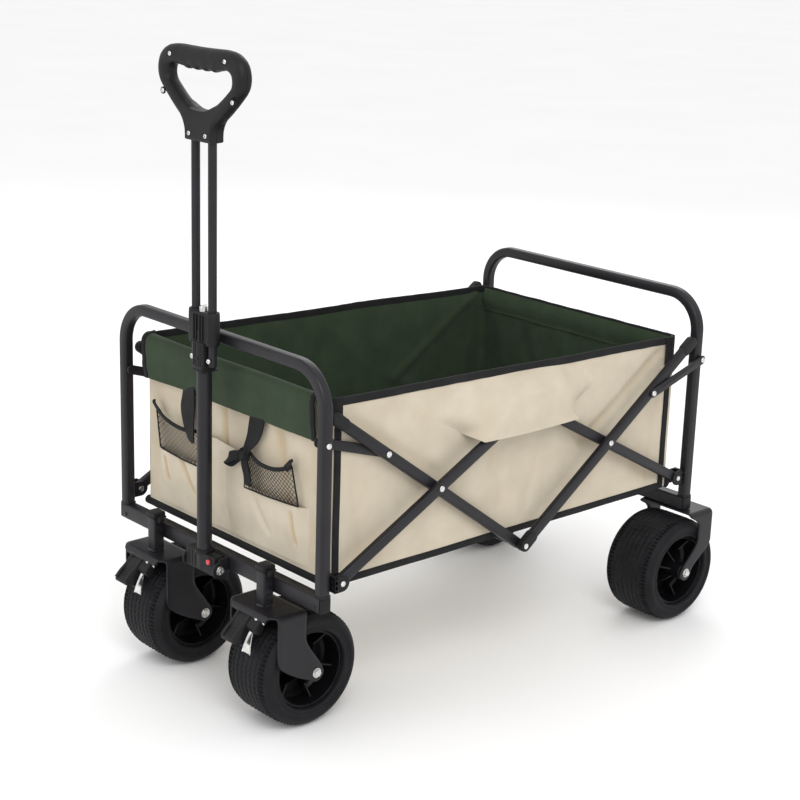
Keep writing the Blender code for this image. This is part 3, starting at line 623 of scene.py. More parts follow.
def build_pivot_bracket(end, side):
    """Moulded fork on the leg that holds a riser's foot, with a ribbed back and a bright bolt."""
    node = f"{end}_pivot_bracket_{side}"
    sign, across = ENDS[end], SIDES[side]
    layer = LAYER_Y[RISER_LAYER[end]]
    shape = Shape(f"{node}_moulding")
    leg_face = sign * (HOOP_X - TUBE / 2 - 0.0003)
    pivot_x, pivot_z = sign * REACH_X, CORNER.z
    height, cheek_in, cheek_out = 0.0125, BAR_THICK / 2 + 0.0003, 0.010
    for inner, outer in ((-cheek_out, -cheek_in), (cheek_in, cheek_out)):
        nose = arc((pivot_x, pivot_z), height, 90, 90 + sign * 180, 16)
        outline = nose + [(leg_face, pivot_z - height), (leg_face, pivot_z + height)]
        outline = [(CENTRE_X + u, v) for u, v in outline]
        shape.slab("xz", outline, across * (layer + inner), across * (layer + outer), 0.0009, PLASTIC)
    web = sorted((pivot_x + sign * (BAR_HALF + 0.0008), leg_face))
    shape.block(at(web[0], across * layer - cheek_out, pivot_z - height),
                at(web[1], across * layer + cheek_out, pivot_z + height), 0.0008, PLASTIC)
    for rise in (-0.008, 0.0, 0.008):
        shape.block(at(web[0], across * layer - cheek_out - 0.0008, pivot_z + rise - 0.0011),
                    at(web[1], across * layer + cheek_out + 0.0008, pivot_z + rise + 0.0011),
                    0.0004, PLASTIC, 1)
    for way in (-1, 1):
        head = at(pivot_x, across * (layer + way * cheek_out), pivot_z)
        shape.rivet(head, (0, across * way, 0), 0.0045, 0.0020 if way > 0 else 0.0008)
    shape.done(f"{end}_frame", [node])


def build_bar(kind, end, side):
    """A flat-sided scissor tube with round ends and its rivets."""
    node = f"{end}_{kind}_{side}"
    sign, across = ENDS[end], SIDES[side]
    layer = LAYER_Y[(RISER_LAYER if kind == "riser" else DIAGONAL_LAYER)[end]]
    if kind == "riser":
        start, stop = (sign * REACH_X, CORNER.z), (0.0, TOP_MIDDLE.z)
    else:
        start, stop = (0.0, LOW_MIDDLE_Z), (sign * REACH_X, LOW_MIDDLE_Z + REACH_X * DIAGONAL_RISE)
    shape = Shape(f"{node}_tube")
    outline = stadium((CENTRE_X + start[0], start[1]), (CENTRE_X + stop[0], stop[1]), BAR_HALF)
    near, far = across * (layer - BAR_THICK / 2), across * (layer + BAR_THICK / 2)
    shape.slab("xz", outline, near, far, 0.0036, PAINT, 5)
    inner, outer = LAYER_Y["inner"] - BAR_THICK / 2, LAYER_Y["outer"] + BAR_THICK / 2
    cross_x, cross_z = sign * (CROSS.x - CENTRE_X), CROSS.z
    spots = []
    if kind == "riser":
        spots += [(cross_x, cross_z, inner, -1), (cross_x, cross_z, outer, 1)]
        if end == "rear":
            spots += [(0.0, TOP_MIDDLE.z, inner, -1), (0.0, TOP_MIDDLE.z, outer, 1)]
    elif end == "rear":
        spots.append((0.0, LOW_MIDDLE_Z, outer, 1))
    else:
        spots.append((sign * LINK_FAR_X, LINK_FAR_Z, layer + BAR_THICK / 2, 1))
    for x, z, face, way in spots:
        shape.rivet(at(x, across * face, z), (0, across * way, 0), 0.0049, 0.0023)
    if kind == "diagonal":
        # A plastic sleeve over the tip, where the bar reaches into the basket's corner.
        tip = Vector((stop[0] - start[0], stop[1] - start[1])).normalized()
        foot = Vector(stop) - tip * 0.018
        sleeve = stadium((CENTRE_X + foot.x, foot.y), (CENTRE_X + stop[0], stop[1]), BAR_HALF + 0.0012)
        skin = 0.0007 if end == "front" else 0.0010
        shape.slab("xz", sleeve, near - across * skin, far + across * skin, 0.0036, PLASTIC, 5)
        # The lower joint sits in a moulded shoe.
        if end == "rear":
            shoe = stadium((CENTRE_X + start[0] + 0.001, start[1]),
                           (CENTRE_X + start[0] + 0.016, start[1] + 0.016 * DIAGONAL_RISE),
                           BAR_HALF + 0.0014)
            shape.slab("xz", shoe, near - across * 0.0004, far + across * 0.0012, 0.003, PLASTIC, 4)
    shape.done(node, [node])


def build_link(end, side):
    """A thin pressed strap with round ends, its spacer and its rivets."""
    node = f"{end}_link_{side}"
    sign, across = ENDS[end], SIDES[side]
    shape = Shape(f"{node}_strap")
    face, outside = LINK_FACE[end], LINK_FACE[end] + LINK_THICK
    leg, far = (sign * HOOP_X, LEG_LINK.z), (sign * LINK_FAR_X, LINK_FAR_Z)
    outline = stadium((CENTRE_X + leg[0], leg[1]), (CENTRE_X + far[0], far[1]), LINK_HALF)
    shape.slab("xz", outline, across * face, across * outside, 0.0009, PAINT)
    # A raised rib pressed along the strap.
    rib = stadium((CENTRE_X + mix(leg[0], far[0], 0.2), mix(leg[1], far[1], 0.2)),
                  (CENTRE_X + mix(leg[0], far[0], 0.8), mix(leg[1], far[1], 0.8)), 0.0026)
    if end == "rear":
        shape.slab("xz", rib, across * (outside - 0.0005), across * (outside + 0.0006), 0.0005, PAINT)
        spacer = (HOOP_Y + TUBE / 2 + 0.0003, face + 0.0005)
        for spot in (leg, far):
            shape.rivet(at(spot[0], across * outside, spot[1]), (0, across, 0), 0.0048, 0.0025)
    else:
        spacer = (face + 0.0005, HOOP_Y - TUBE / 2 - 0.0003)
    start = at(leg[0], across * spacer[0], leg[1])
    shape.rod(start, (0, across, 0), 0.006, 0, spacer[1] - spacer[0], PLASTIC, 20)
    shape.done(node, [node])


# ---------------------------------------------------------------- wheels

TREAD_HALF = 0.036        # half the width of the ribbed tread
RIBS = 7                  # ribs across the tread
SLITS = 80                # slits round each shoulder
TYRE_STEPS = 4 * SLITS


def tyre_profile(rim, radius, half):
    """The tyre's outline from one bead round to the other: soft shoulders and a fluted tread."""
    side = [(rim, half - 0.0045), (rim + 0.0010, half - 0.0022), (rim + 0.0035, half - 0.0010),
            (rim + 0.0070, half - 0.0022), (rim + 0.0110, half - 0.0010), (0.83 * radius, half),
            (0.87 * radius, half - 0.0006), (0.905 * radius, half - 0.0030)]
    shoulder = [(0.935 * radius, half - 0.0055), (0.960 * radius, half - 0.0085),
                (0.980 * radius, half - 0.0118)]
    side = [tuple(p) for p in smooth_line(side + shoulder, 3)]
    tread = []
    steps = RIBS * 6
    for i in range(steps + 1):
        share = i / steps
        along = mix(TREAD_HALF, -TREAD_HALF, share)
        crown = radius * (1.0 - 0.012 * (along / TREAD_HALF) ** 2)
        groove = 0.0020 * max(0.0, math.cos(2 * math.pi * RIBS * share)) ** 2.5
        tread.append((crown - groove, along))
    return side + tread + [(r, -a) for r, a in reversed(side)]


def build_tyre(end, side):
    node = f"{end}_tyre_{side}"
    spot = middle(node)
    radius, half = high(node).z - spot.z, high(node).y - spot.y
    rim = high(f"{end}_hub_{side}").z - spot.z + 0.0003
    profile = tyre_profile(rim, radius, half)

    def swell(k, angle):
        reach, along = profile[k]
        turn = angle / (2 * math.pi)
        slit = 1.0 if (turn * SLITS) % 1.0 < 0.3 else 0.0
        edge = abs(along)
        wavy = 0.0005 * math.sin(turn * 2 * math.pi * 60 + along * 700) - 0.0005
        if TREAD_HALF * 0.90 < edge < TREAD_HALF * 1.16 and reach > 0.9 * radius:
            return -0.0032 * slit
        return wavy if reach > 0.95 * radius and edge < TREAD_HALF * 0.88 else 0.0

    shape = Shape(f"{node}_tread")
    profile = [(min(r, radius - 0.00025), a) for r, a in profile]
    shape.lathe(profile, spot, (0, 1, 0), RUBBER, TYRE_STEPS, ring=True, swell=swell)
    # A raised ring moulded into each sidewall.
    for way in (-1, 1):
        bead = [(rim + 0.0125 + 0.0006 * math.cos(a), way * (half - 0.0006) + 0.0006 * math.sin(a))
                for a in (math.radians(d) for d in range(0, 360, 45))]
        shape.lathe(bead, spot, (0, 1, 0), RUBBER, 96, ring=True)
    shape.done(f"{end}_wheel_{side}", [node], sharp=50)


def build_hub(end, side):
    """A deep dished plastic hub with ribs, a boss and a bearing cap on each face."""
    node = f"{end}_hub_{side}"
    spot = middle(node)
    rim, reach = high(node).z - spot.z, high(node).y - spot.y
    shape = Shape(f"{node}_moulding")
    boss, bore, wall, edge = 0.0140, 0.0054, rim - 0.0035, 0.043
    face = [(rim, edge - 0.0010), (rim - 0.0004, edge - 0.0003), (rim - 0.0012, edge), (wall + 0.0008, edge),
            (wall, edge - 0.0008), (wall - 0.0006, 0.020), (wall - 0.0016, 0.0085), (wall - 0.006, 0.0045),
            (0.030, 0.0038), (boss + 0.005, 0.0048), (boss + 0.0012, 0.009), (boss, reach - 0.008),
            (boss - 0.0004, reach - 0.0012), (boss - 0.0014, reach - 0.0002), (0.0100, reach),
            (0.0092, reach - 0.0015), (bore + 0.0012, reach - 0.0015), (bore, reach - 0.0006)]
    profile = face + [(r, -a) for r, a in reversed(face)]
    shape.lathe(profile, spot, (0, 1, 0), HUB_SHADED, 72, ring=True)
    for way in (-1, 1):
        for i in range(6):
            turn = Matrix.Rotation(math.pi * i / 3 + math.pi / 12, 3, "Y")
            low_edge = [(boss - 0.001, 0.003), (wall - 0.0005, 0.003)]
            top_edge = [(wall - 0.0005, 0.028), (0.036, 0.020), (boss - 0.001, 0.038)]
            rows = [[spot + turn @ Vector((u, way * w, thick)) for u, w in low_edge + top_edge]
                    for thick in (-0.0013, 0.0013)]
            shape.grid(rows, HUB_SHADED, wrap=True, caps=True)
        lip = [(wall - 0.0002 + 0.0007 * math.cos(a), way * (edge - 0.0006) + 0.0007 * math.sin(a))
               for a in (math.radians(d) for d in range(0, 360, 45))]
        shape.lathe(lip, spot, (0, 1, 0), HUB_SHADED, 72, ring=True)
    shape.done(f"{end}_wheel_{side}", [node], sharp=40)


def build_axle(end, side, body):
    node = f"{end}_axle_{side}"
    spot = middle(node)
    reach = high(node).y - spot.y
    shape = Shape(f"{node}_bolt")
    inner = reach - 0.0042
    shape.rod(spot, (0, 1, 0), 0.005, -inner - 0.0005, inner + 0.0005, ZINC)
    for way in (-1, 1):
        shape.hex_bolt(spot + Vector((0, way * inner, 0)), (0, way, 0), 0.0062, 0.0042)
    shape.done(body, [node], sharp=30)


# ---------------------------------------------------------------- forks, casters, brakes

EYE = 0.0140              # half the width of a fork leg round its axle
FORK_THICK = 0.004
FORK_BEND = 0.009

# Front and rear edges of a fork's legs below the roof, from the middle of the cart, and the
# height above the axle where each edge starts to run in towards the eye.
LEG_EDGES = {"front": (-0.4430, -0.3915), "rear": (0.4140, 0.4485)}
LEG_SHOULDER = {"front": (0.032, 0.060), "rear": (0.052, 0.046)}


def fork_edges(end, spot):
    """The X of a fork leg's two edges at height z: wide below the roof, round about the axle."""

    def edge(way, z):
        """The front (way -1) or rear (way 1) edge, out from the eye to LEG_EDGES."""
        if z <= spot.z:
            return spot.x + way * math.sqrt(max(EYE ** 2 - (z - spot.z) ** 2, 0.0))
        which = 0 if way < 0 else 1
        share = min((z - spot.z) / LEG_SHOULDER[end][which], 1.0)
        return mix(spot.x + way * EYE, CENTRE_X + LEG_EDGES[end][which], mix(share, ease(share), 0.55))

    def edges(z):
        if end == "rear":
            return edge(-1, z), edge(1, z)
        # A front leg sweeps forward from under the eye in one round curve.
        share = min(max((z - (spot.z - EYE)) / (EYE + LEG_SHOULDER[end][0]), 0.0), 1.0)
        swept = mix(spot.x, CENTRE_X + LEG_EDGES[end][0], 1 - (1 - share) ** 1.6)
        return min(edge(-1, z), swept) if z <= spot.z else swept, edge(1, z)

    return edges


def strap(shape, edges, path, thick, columns):
    """A bent steel strap: path gives its centreline (y, z, outward), edges(y, z) its width."""
    front, back = [], []
    for y, z, outward in path:
        left, right = edges(y, z)
        row_out, row_in = [], []
        for i in range(columns + 1):
            share = i / columns
            x = mix(left, right, share)
            # The cut edges are rounded a little.
            rim = min(share, 1 - share) * abs(right - left)
            drop = 0.0008 * max(0.0, 1 - rim / 0.0012) ** 2
            offset = Vector((0, outward[0], outward[1])) * (thick / 2 - drop)
            row_out.append(Vector((x, y, z)) + offset)
            row_in.append(Vector((x, y, z)) - offset)
        front.append(row_out)
        back.append(row_in[::-1])
    rows = [out + inner for out, inner in zip(front, back)]
    shape.grid(rows, PAINT, wrap=True, caps=True)


def fork_path(y, half, top, foot):
    """Up one leg, over the wheel and down the other, with bent corners."""
    mid = half - FORK_THICK / 2
    roof = top - FORK_THICK / 2
    bend = FORK_BEND - FORK_THICK / 2

    def corner(centre_y, start):
        """A quarter turn about centre_y, clockwise from the angle start."""
        turns = [math.radians(start - 90 * k / 8) for k in range(1, 8)]
        return [(centre_y + bend * math.cos(a), roof - bend + bend * math.sin(a),
                 (math.cos(a), math.sin(a))) for a in turns]

    levels = [foot + (EYE * (1 - math.cos(math.pi / 2 * k / 8))) for k in range(9)]
    levels += [mix(foot + EYE, roof - bend, k / 14) for k in range(1, 15)]
    path = [(y - mid, z, (-1, 0)) for z in levels]
    path += corner(y - mid + bend, 180)
    path += [(mix(y - mid + bend, y + mid - bend, k / 32), roof, (0, 1)) for k in range(33)]
    path += corner(y + mid - bend, 90)
    path += [(y + mid, z, (1, 0)) for z in reversed(levels)]
    return path


def build_rear_fork(side):
    node = f"rear_fork_{side}"
    shape = Shape(f"{node}_strap")
    spot = middle(f"rear_axle_{side}")
    y, top = spot.y, high(node).z
    leg = fork_edges("rear", spot)
    plate_high = high(node).x

    def edges(_, z):
        left, right = leg(z)
        widen = ease((z - (top - 0.022)) / 0.018)
        return mix(left, low(node).x + 0.0195, widen), mix(right, plate_high - 0.0006, widen)

    strap(shape, edges, fork_path(y, high(node).y - y, top, spot.z - EYE), FORK_THICK, 14)
    shape.done("rear_frame", [node], sharp=32)


def build_caster_fork(side):
    """Bent strap with its swivel stem, a thrust washer and the ears that hold the brake pedal."""
    node = f"caster_fork_{side}"
    shape = Shape(f"{node}_strap")
    spot = middle(f"front_axle_{side}")
    stem = PIVOT[f"caster_{side}"]
    y, top = spot.y, stem.z
    leg = fork_edges("front", spot)
    plate_low, plate_high = low(node).x, CENTRE_X - 0.3900
    half = high(node).y - y

    def edges(across, z):
        left, right = leg(z)
        widen = ease((z - (top - 0.014)) / 0.010)
        # The roof's front corners are cut back.
        forward = ease((0.0530 - abs(across - y)) / 0.0090) if z > top - 0.006 else 0.0
        return mix(left, plate_low + 0.0040, forward), mix(right, plate_high, widen)

    strap(shape, edges, fork_path(y, half, top, spot.z - EYE), FORK_THICK, 16)
    # The roof's front edge is turned down into a lip.
    reach, roof = 0.0455, top - FORK_THICK / 2
    lip = []
    for k in range(7):
        angle = math.radians(90 - 15 * k)
        lip.append((plate_low + 0.0060 - 0.0040 * math.cos(angle),
                    roof - 0.0040 + 0.0040 * math.sin(angle)))
    lip += [(plate_low + 0.0020, roof - 0.0060), (plate_low + 0.0020, roof - 0.0085)]
    rows = []
    for k, (x, z) in enumerate(lip):
        fore, aft = lip[max(k - 1, 0)], lip[min(k + 1, len(lip) - 1)]
        away = Vector((fore[1] - aft[1], 0, aft[0] - fore[0])).normalized() * (FORK_THICK / 2 - 0.0003)
        edge = reach - 0.006 * (k / (len(lip) - 1)) ** 2
        row = [Vector((x, y + edge * share, z)) for share in (-1, -0.5, 0, 0.5, 1)]
        rows.append([point + away for point in row] + [point - away for point in reversed(row)])
    shape.grid(rows, PAINT, wrap=True, caps=True)
    washer = [(0, -0.0002), (0.0125, -0.0002), (0.0128, 0.0002), (0.0105, 0.00045), (0, 0.00045)]
    shape.lathe(washer, (stem.x, y, top), (0, 0, 1), ZINC, 32)
    shape.rod((stem.x, y, top), (0, 0, 1), 0.0055, 0, high(node).z - top, ZINC)
    pedal = PIVOT[f"brake_{side}"]
    ear_in, ear_out = 0.0275, 0.0305
    for way in (-1, 1):
        outline = [(pedal.x - 0.0055, top - 0.0025), (pedal.x + 0.0055, top - 0.0025)]
        outline += arc((pedal.x, pedal.z), 0.0055, 0, -180, 12)
        shape.slab("xz", outline, y + way * ear_in, y + way * ear_out, 0.0007, PAINT)
        shape.rivet((pedal.x, y + way * ear_out, pedal.z), (0, way, 0), 0.0042, 0.0022)
    shape.rod(pedal, (0, 1, 0), 0.0025, -0.0300, 0.0300, ZINC, 16)
    shape.done(f"caster_{side}", [node], sharp=32)


def build_caster_post(side):
    """Square post on the beam with a moulded cap and a clamp screw."""
    node = f"caster_post_{side}"
    shape = Shape(f"{node}_tube")
    stem = PIVOT[f"caster_{side}"]
    x, y, half = stem.x, stem.y, 0.0095
    top = high(node).z
    cap_low = top - 0.011
    section = rounded(half, half, 0.0022, 4)
    levels = (low(node).z, (low(node).z + cap_low) / 2, cap_low)
    shape.sweep([(x, y, z) for z in levels], section, (1, 0, 0), PAINT)
    shape.block((x - 0.0115, y - 0.0115, cap_low), (x + 0.0115, y + 0.0115, top), 0.0028, PLASTIC, 4)
    shape.block((x - 0.0122, y - 0.0122, cap_low + 0.0008),
                (x + 0.0122, y + 0.0122, cap_low + 0.0030), 0.0006, PLASTIC, 2)
    shape.block((x - 0.005, y - 0.017, cap_low - 0.005),
                (x + 0.005, y - 0.0095, cap_low + 0.005), 0.0012, PLASTIC)
    shape.rivet((x, y - 0.017, cap_low), (0, -1, 0), 0.0030, 0.0014, PLASTIC)
    # Cross-hatched ribs of the moulded insert, seen on the side that faces the middle of the beam.
    for k in range(5):
        z = mix(low(node).z + 0.006, cap_low - 0.004, k / 4)
        shape.block((x - half * 0.7, y - half - 0.0010, z),
                    (x + half * 0.7, y - half + 0.001, z + 0.0018), 0.0005, PLASTIC, 1)
    shape.done("front_frame", [node])


def build_brake_pedal(side):
    """Moulded foot pedal: a hooded barrel on the pin, a ribbed pad, a bright steel strip."""
    node = f"brake_pedal_{side}"
    shape = Shape(f"{node}_moulding")
    pin = PIVOT[f"brake_{side}"]
    y, half = pin.y, 0.0268

    def by(x, z):
        return (pin.x + x, pin.z + z)

    block = arc(by(0, 0), 0.0055, 150, -20, 12)
    block += [by(0.0033, -0.0110), by(-0.0028, -0.0200), by(-0.0120, -0.0175), by(-0.0150, -0.0085)]
    pad = [by(-0.0040, 0.0030), by(-0.0265, -0.0185), by(-0.0370, -0.0285), by(-0.0345, -0.0350),
           by(-0.0216, -0.0384), by(-0.0175, -0.0438), by(-0.0130, -0.0420), by(-0.0028, -0.0262)]
    pad_near, pad_far = y - 0.0055, y + half
    for body, near, far in ((block, y - half, y + half), (pad, pad_near, pad_far)):
        outline = [tuple(p) for p in smooth_line(body, 3, closed=True)]
        shape.slab("xz", outline, near, far, 0.0028, PLASTIC, 5)
    # Raised cheeks at both sides and grip ribs across the pad.
    for edge in (pad_near + 0.0035, pad_far - 0.0035):
        cheek = [by(-0.0050, 0.0040), by(-0.0175, -0.0095), by(-0.0280, -0.0180), by(-0.0372, -0.0275)]
        line = [Vector((u, edge, v)) for u, v in smooth_line(cheek, 5)]
        shape.sweep(line, rounded(0.0030, 0.0016, 0.0012, 3), (0, 1, 0), PLASTIC)
    for k in range(5):
        x, z = mix(-0.0330, -0.0160, k / 4), mix(-0.0238, -0.0088, k / 4)
        ends = [(pin.x + x, mix(pad_near + 0.0070, pad_far - 0.0070, share), pin.z + z)
                for share in (0, 0.5, 1)]
        shape.sweep(ends, arc((0, 0), 0.0011, 0, 330, 11), (1, 0, 0), PLASTIC)
    # The bright steel shoe that presses on the tyre stands beside the pad and widens downwards.
    strip = [(-0.0105, -0.0120), (-0.0150, -0.0225), (-0.0192, -0.0350), (-0.0215, -0.0462)]
    rows = []
    for k, (u, v) in enumerate(strip):
        wide = mix(0.0030, 0.0096, k / 3)
        centre = y - 0.0165
        rows.append([Vector((pin.x + u + out, centre + way * wide, pin.z + v + out * 0.4))
                     for way, out in ((-1, -0.0024), (-0.7, -0.0008), (0.7, -0.0008), (1, -0.0024),
                                      (1, -0.0008), (0.7, 0.0008), (-0.7, 0.0008), (-1, -0.0008))])
    shape.grid(rows, ZINC, wrap=True, caps=True)
    screw_way = Vector((-0.75, 0, 0.66))
    shape.screw(Vector((pin.x - 0.0045, y - half + 0.0085, pin.z + 0.0038)), screw_way, 0.0040, 0.0024)
    shape.done(f"brake_{side}", [node])


# ---------------------------------------------------------------- handle

ROD_Y = 0.0205
ROD_R = 0.0065
HANDLE_R = 0.0115


def build_handle_bracket():
    """Folded steel bracket on the beam, with the pivot bolt across its cheeks."""
    shape = Shape("handle_bracket_plate")
    node = "handle_bracket"
    back, bottom, top = high(node).x, low(node).z, high(node).z
    shape.block((back - 0.0025, low(node).y, bottom), (back, high(node).y, top), 0.0008, PAINT)
    for across in SIDES.values():
        outline = [(back - 0.0003, bottom), (back - 0.0003, top), (HANDLE.x, top)]
        outline += arc((HANDLE.x, HANDLE.z), 0.0135, 100, 260, 16)
        shape.slab("xz", outline, across * 0.0370, across * 0.0400, 0.0009, PAINT)
        for z in (bottom + 0.010, top - 0.010):
            shape.rivet((back - 0.0025, across * 0.026, z), (-1, 0, 0), 0.0034, 0.0016)
    shape.done("front_frame", [node])
    bolt = Shape("handle_pivot_pin")
    bolt.rod(HANDLE, (0, 1, 0), 0.003, -0.041, 0.041, ZINC, 20)
    for across in SIDES.values():
        bolt.hex_bolt((HANDLE.x, across * 0.0403, HANDLE.z), (0, across, 0), 0.0056, 0.0041)
    bolt.done("front_frame", ["handle_pivot_bolt"], sharp=30)


def build_handle_base():
    node = "handle_base"
    shape = Shape("handle_base_moulding")
    bottom, top = low(node).z, high(node).z
    half = 0.009
    shape.block((HANDLE.x - half, -0.0365, bottom), (HANDLE.x + half, 0.0365, top), 0.0022, PLASTIC, 4)
    lip = [(0.0004, -0.002), (0.0032, -0.002), (0.0028, 0.0035), (0.0010, 0.0045), (0.0004, 0.0040)]
    shape.lathe([(HANDLE_R + out, top + up) for out, up in lip],
                (HANDLE.x, 0, 0), (0, 0, 1), PLASTIC, 40, ring=True)
    for y in (-0.032, 0.012, 0.020, 0.028):
        shape.block((HANDLE.x - half - 0.0007, y - 0.001, bottom + 0.003),
                    (HANDLE.x - half + 0.001, y + 0.001, top - 0.003), 0.0004, PLASTIC, 1)
    lock = middle("lock_button")
    shape.lathe([(0.0052, -0.0005), (0.0068, -0.0005), (0.0066, 0.0012), (0.0054, 0.0014)],
                (HANDLE.x - half, lock.y, lock.z), (-1, 0, 0), PLASTIC, 28, ring=True)
    shape.done("handle", [node])
    button = Shape("lock_button_cap")
    face = low("lock_button").x
    depth = HANDLE.x - half - face
    profile = [(0, -0.0018), (0.0044, -0.0018), (0.0044, depth * 0.55), (0.0040, depth * 0.85),
               (0.0028, depth), (0, depth * 0.92)]
    button.lathe(profile, (HANDLE.x - half, lock.y, lock.z), (-1, 0, 0), RED, 28)
    button.done("lock_button", ["lock_button"])


def build_handle_tube():
    """The lower handle tube, open at both ends, with a crimp above its foot."""
    shape = Shape("handle_tube_steel")
    foot, top = low("handle_tube").z, high("handle_tube").z
    r, wall = HANDLE_R, 0.0015
    outer = [(r - 0.0004, foot), (r, foot + 0.0004), (r, foot + 0.040), (r - 0.0003, foot + 0.042),
             (r - 0.0003, foot + 0.044), (r, foot + 0.046), (r, top - 0.0004), (r - 0.0004, top)]
    profile = outer + [(r - wall, top), (r - wall, foot)]
    shape.lathe(profile, (HANDLE.x, 0, 0), (0, 0, 1), PAINT, 48, ring=True)
    shape.done("handle", ["handle_tube"])


def build_collar():
    """Moulded collar: a clamp on the lower tube, and two guides for the rods with a bridge between."""
    shape = Shape("handle_collar_moulding")
    x, node = HANDLE.x, "handle_collar"
    bottom, top = low(node).z, high(node).z
    step = bottom + 0.044
    shape.block((x - 0.0108, -0.0275, step), (x + 0.0108, 0.0275, top - 0.0015), 0.0045, PLASTIC, 5)
    for across in SIDES.values():
        guide = [(ROD_R + 0.0004, step - 0.001), (0.0100, step - 0.001), (0.0108, step + 0.002),
                 (0.0108, top - 0.0012), (0.0100, top), (ROD_R + 0.0004, top)]
        shape.lathe(guide, (x, across * ROD_Y, 0), (0, 0, 1), PLASTIC, 40, ring=True)
        # Upright ribs leave dark slots between them.
        for y in (0.0045, 0.0105):
            shape.block((x - 0.0132, across * y - 0.0012, step + 0.004),
                        (x - 0.0100, across * y + 0.0012, top - 0.006), 0.0005, PLASTIC, 1)
    shape.block((x - 0.0135, -0.0135, bottom), (x + 0.0135, 0.0135, step + 0.003), 0.0038, PLASTIC, 5)
    for y in (-0.0085, -0.0045, 0.0045, 0.0085):
        shape.block((x - 0.0142, y - 0.0009, bottom + 0.012),
                    (x - 0.0128, y + 0.0009, step), 0.0004, PLASTIC, 1)
    for z in (bottom + 0.0015, bottom + 0.0085):
        shape.block((x - 0.0142, -0.0142, z), (x + 0.0142, 0.0142, z + 0.0028), 0.0009, PLASTIC, 2)
    shape.rivet((x - 0.0135, 0, bottom + 0.021), (-1, 0, 0), 0.0030, 0.0014, PLASTIC)
    shape.done("handle", [node])
    button = Shape("collar_button_cap")
    spot, reach = middle("collar_button"), high("collar_button").z - low("collar_button").z
    base = low("collar_button").z
    button.lathe([(0, 0), (0.0072, 0), (0.0072, reach - 0.0030), (0.0066, reach - 0.0010), (0.0050, reach),
                  (0.0036, reach - 0.0006), (0, reach - 0.0008)], (spot.x, 0, base), (0, 0, 1), ZINC, 36)
    button.done("collar_button", ["collar_button"])


def build_rod(side):
    """Telescopic rod with its end stop bolt and a plastic foot."""
    node = f"telescopic_rod_{side}"
    shape = Shape(f"{node}_steel")
    y = SIDES[side] * ROD_Y
    foot, top = low(node).z, high(node).z
    profile = [(0, foot), (ROD_R - 0.0008, foot), (ROD_R, foot + 0.0008), (ROD_R, mix(foot, top, 0.5)),
               (ROD_R, top), (0, top)]
    shape.lathe(profile, (HANDLE.x, y, 0), (0, 0, 1), PAINT, 40)
    stop_z = foot + 0.009
    shape.lathe([(0, 0), (0.0050, 0), (0.0054, 0.0006), (0.0054, 0.0012), (0, 0.0012)],
                (HANDLE.x - ROD_R + 0.0010, y, stop_z), (-1, 0, 0), PLASTIC, 28)
    shape.screw((HANDLE.x - ROD_R - 0.0002, y, stop_z), (-1, 0, 0), 0.0042, 0.0030)
    shape.done("handle_top", [node])


GRIP_SCREWS = ((0.020, 0.010), (0.084, 0.064), (0.066, 0.118))
GRIP_STATIONS = 220


def mirrored_ring(half, steps):
    """A closed smooth outline from its half with u >= 0, listed bottom to top."""
    line = smooth_line([(-half[1][0], half[1][1])] + half + [(-half[-2][0], half[-2][1])], steps)
    line = line[steps:-steps]
    line[0].x = line[-1].x = 0.0
    return line + [Vector((-p.x, p.y)) for p in reversed(line[1:-1])]


def resampled(outline, count):
    """The closed outline with count points an equal way apart."""
    ring = list(outline) + [outline[0]]
    marks = [0.0]
    for a, b in zip(ring, ring[1:]):
        marks.append(marks[-1] + (b - a).length)
    points, k = [], 0
    for i in range(count):
        goal = marks[-1] * i / count
        while marks[k + 1] < goal:
            k += 1
        points.append(ring[k].lerp(ring[k + 1], (goal - marks[k]) / max(marks[k + 1] - marks[k], 1e-9)))
    return points


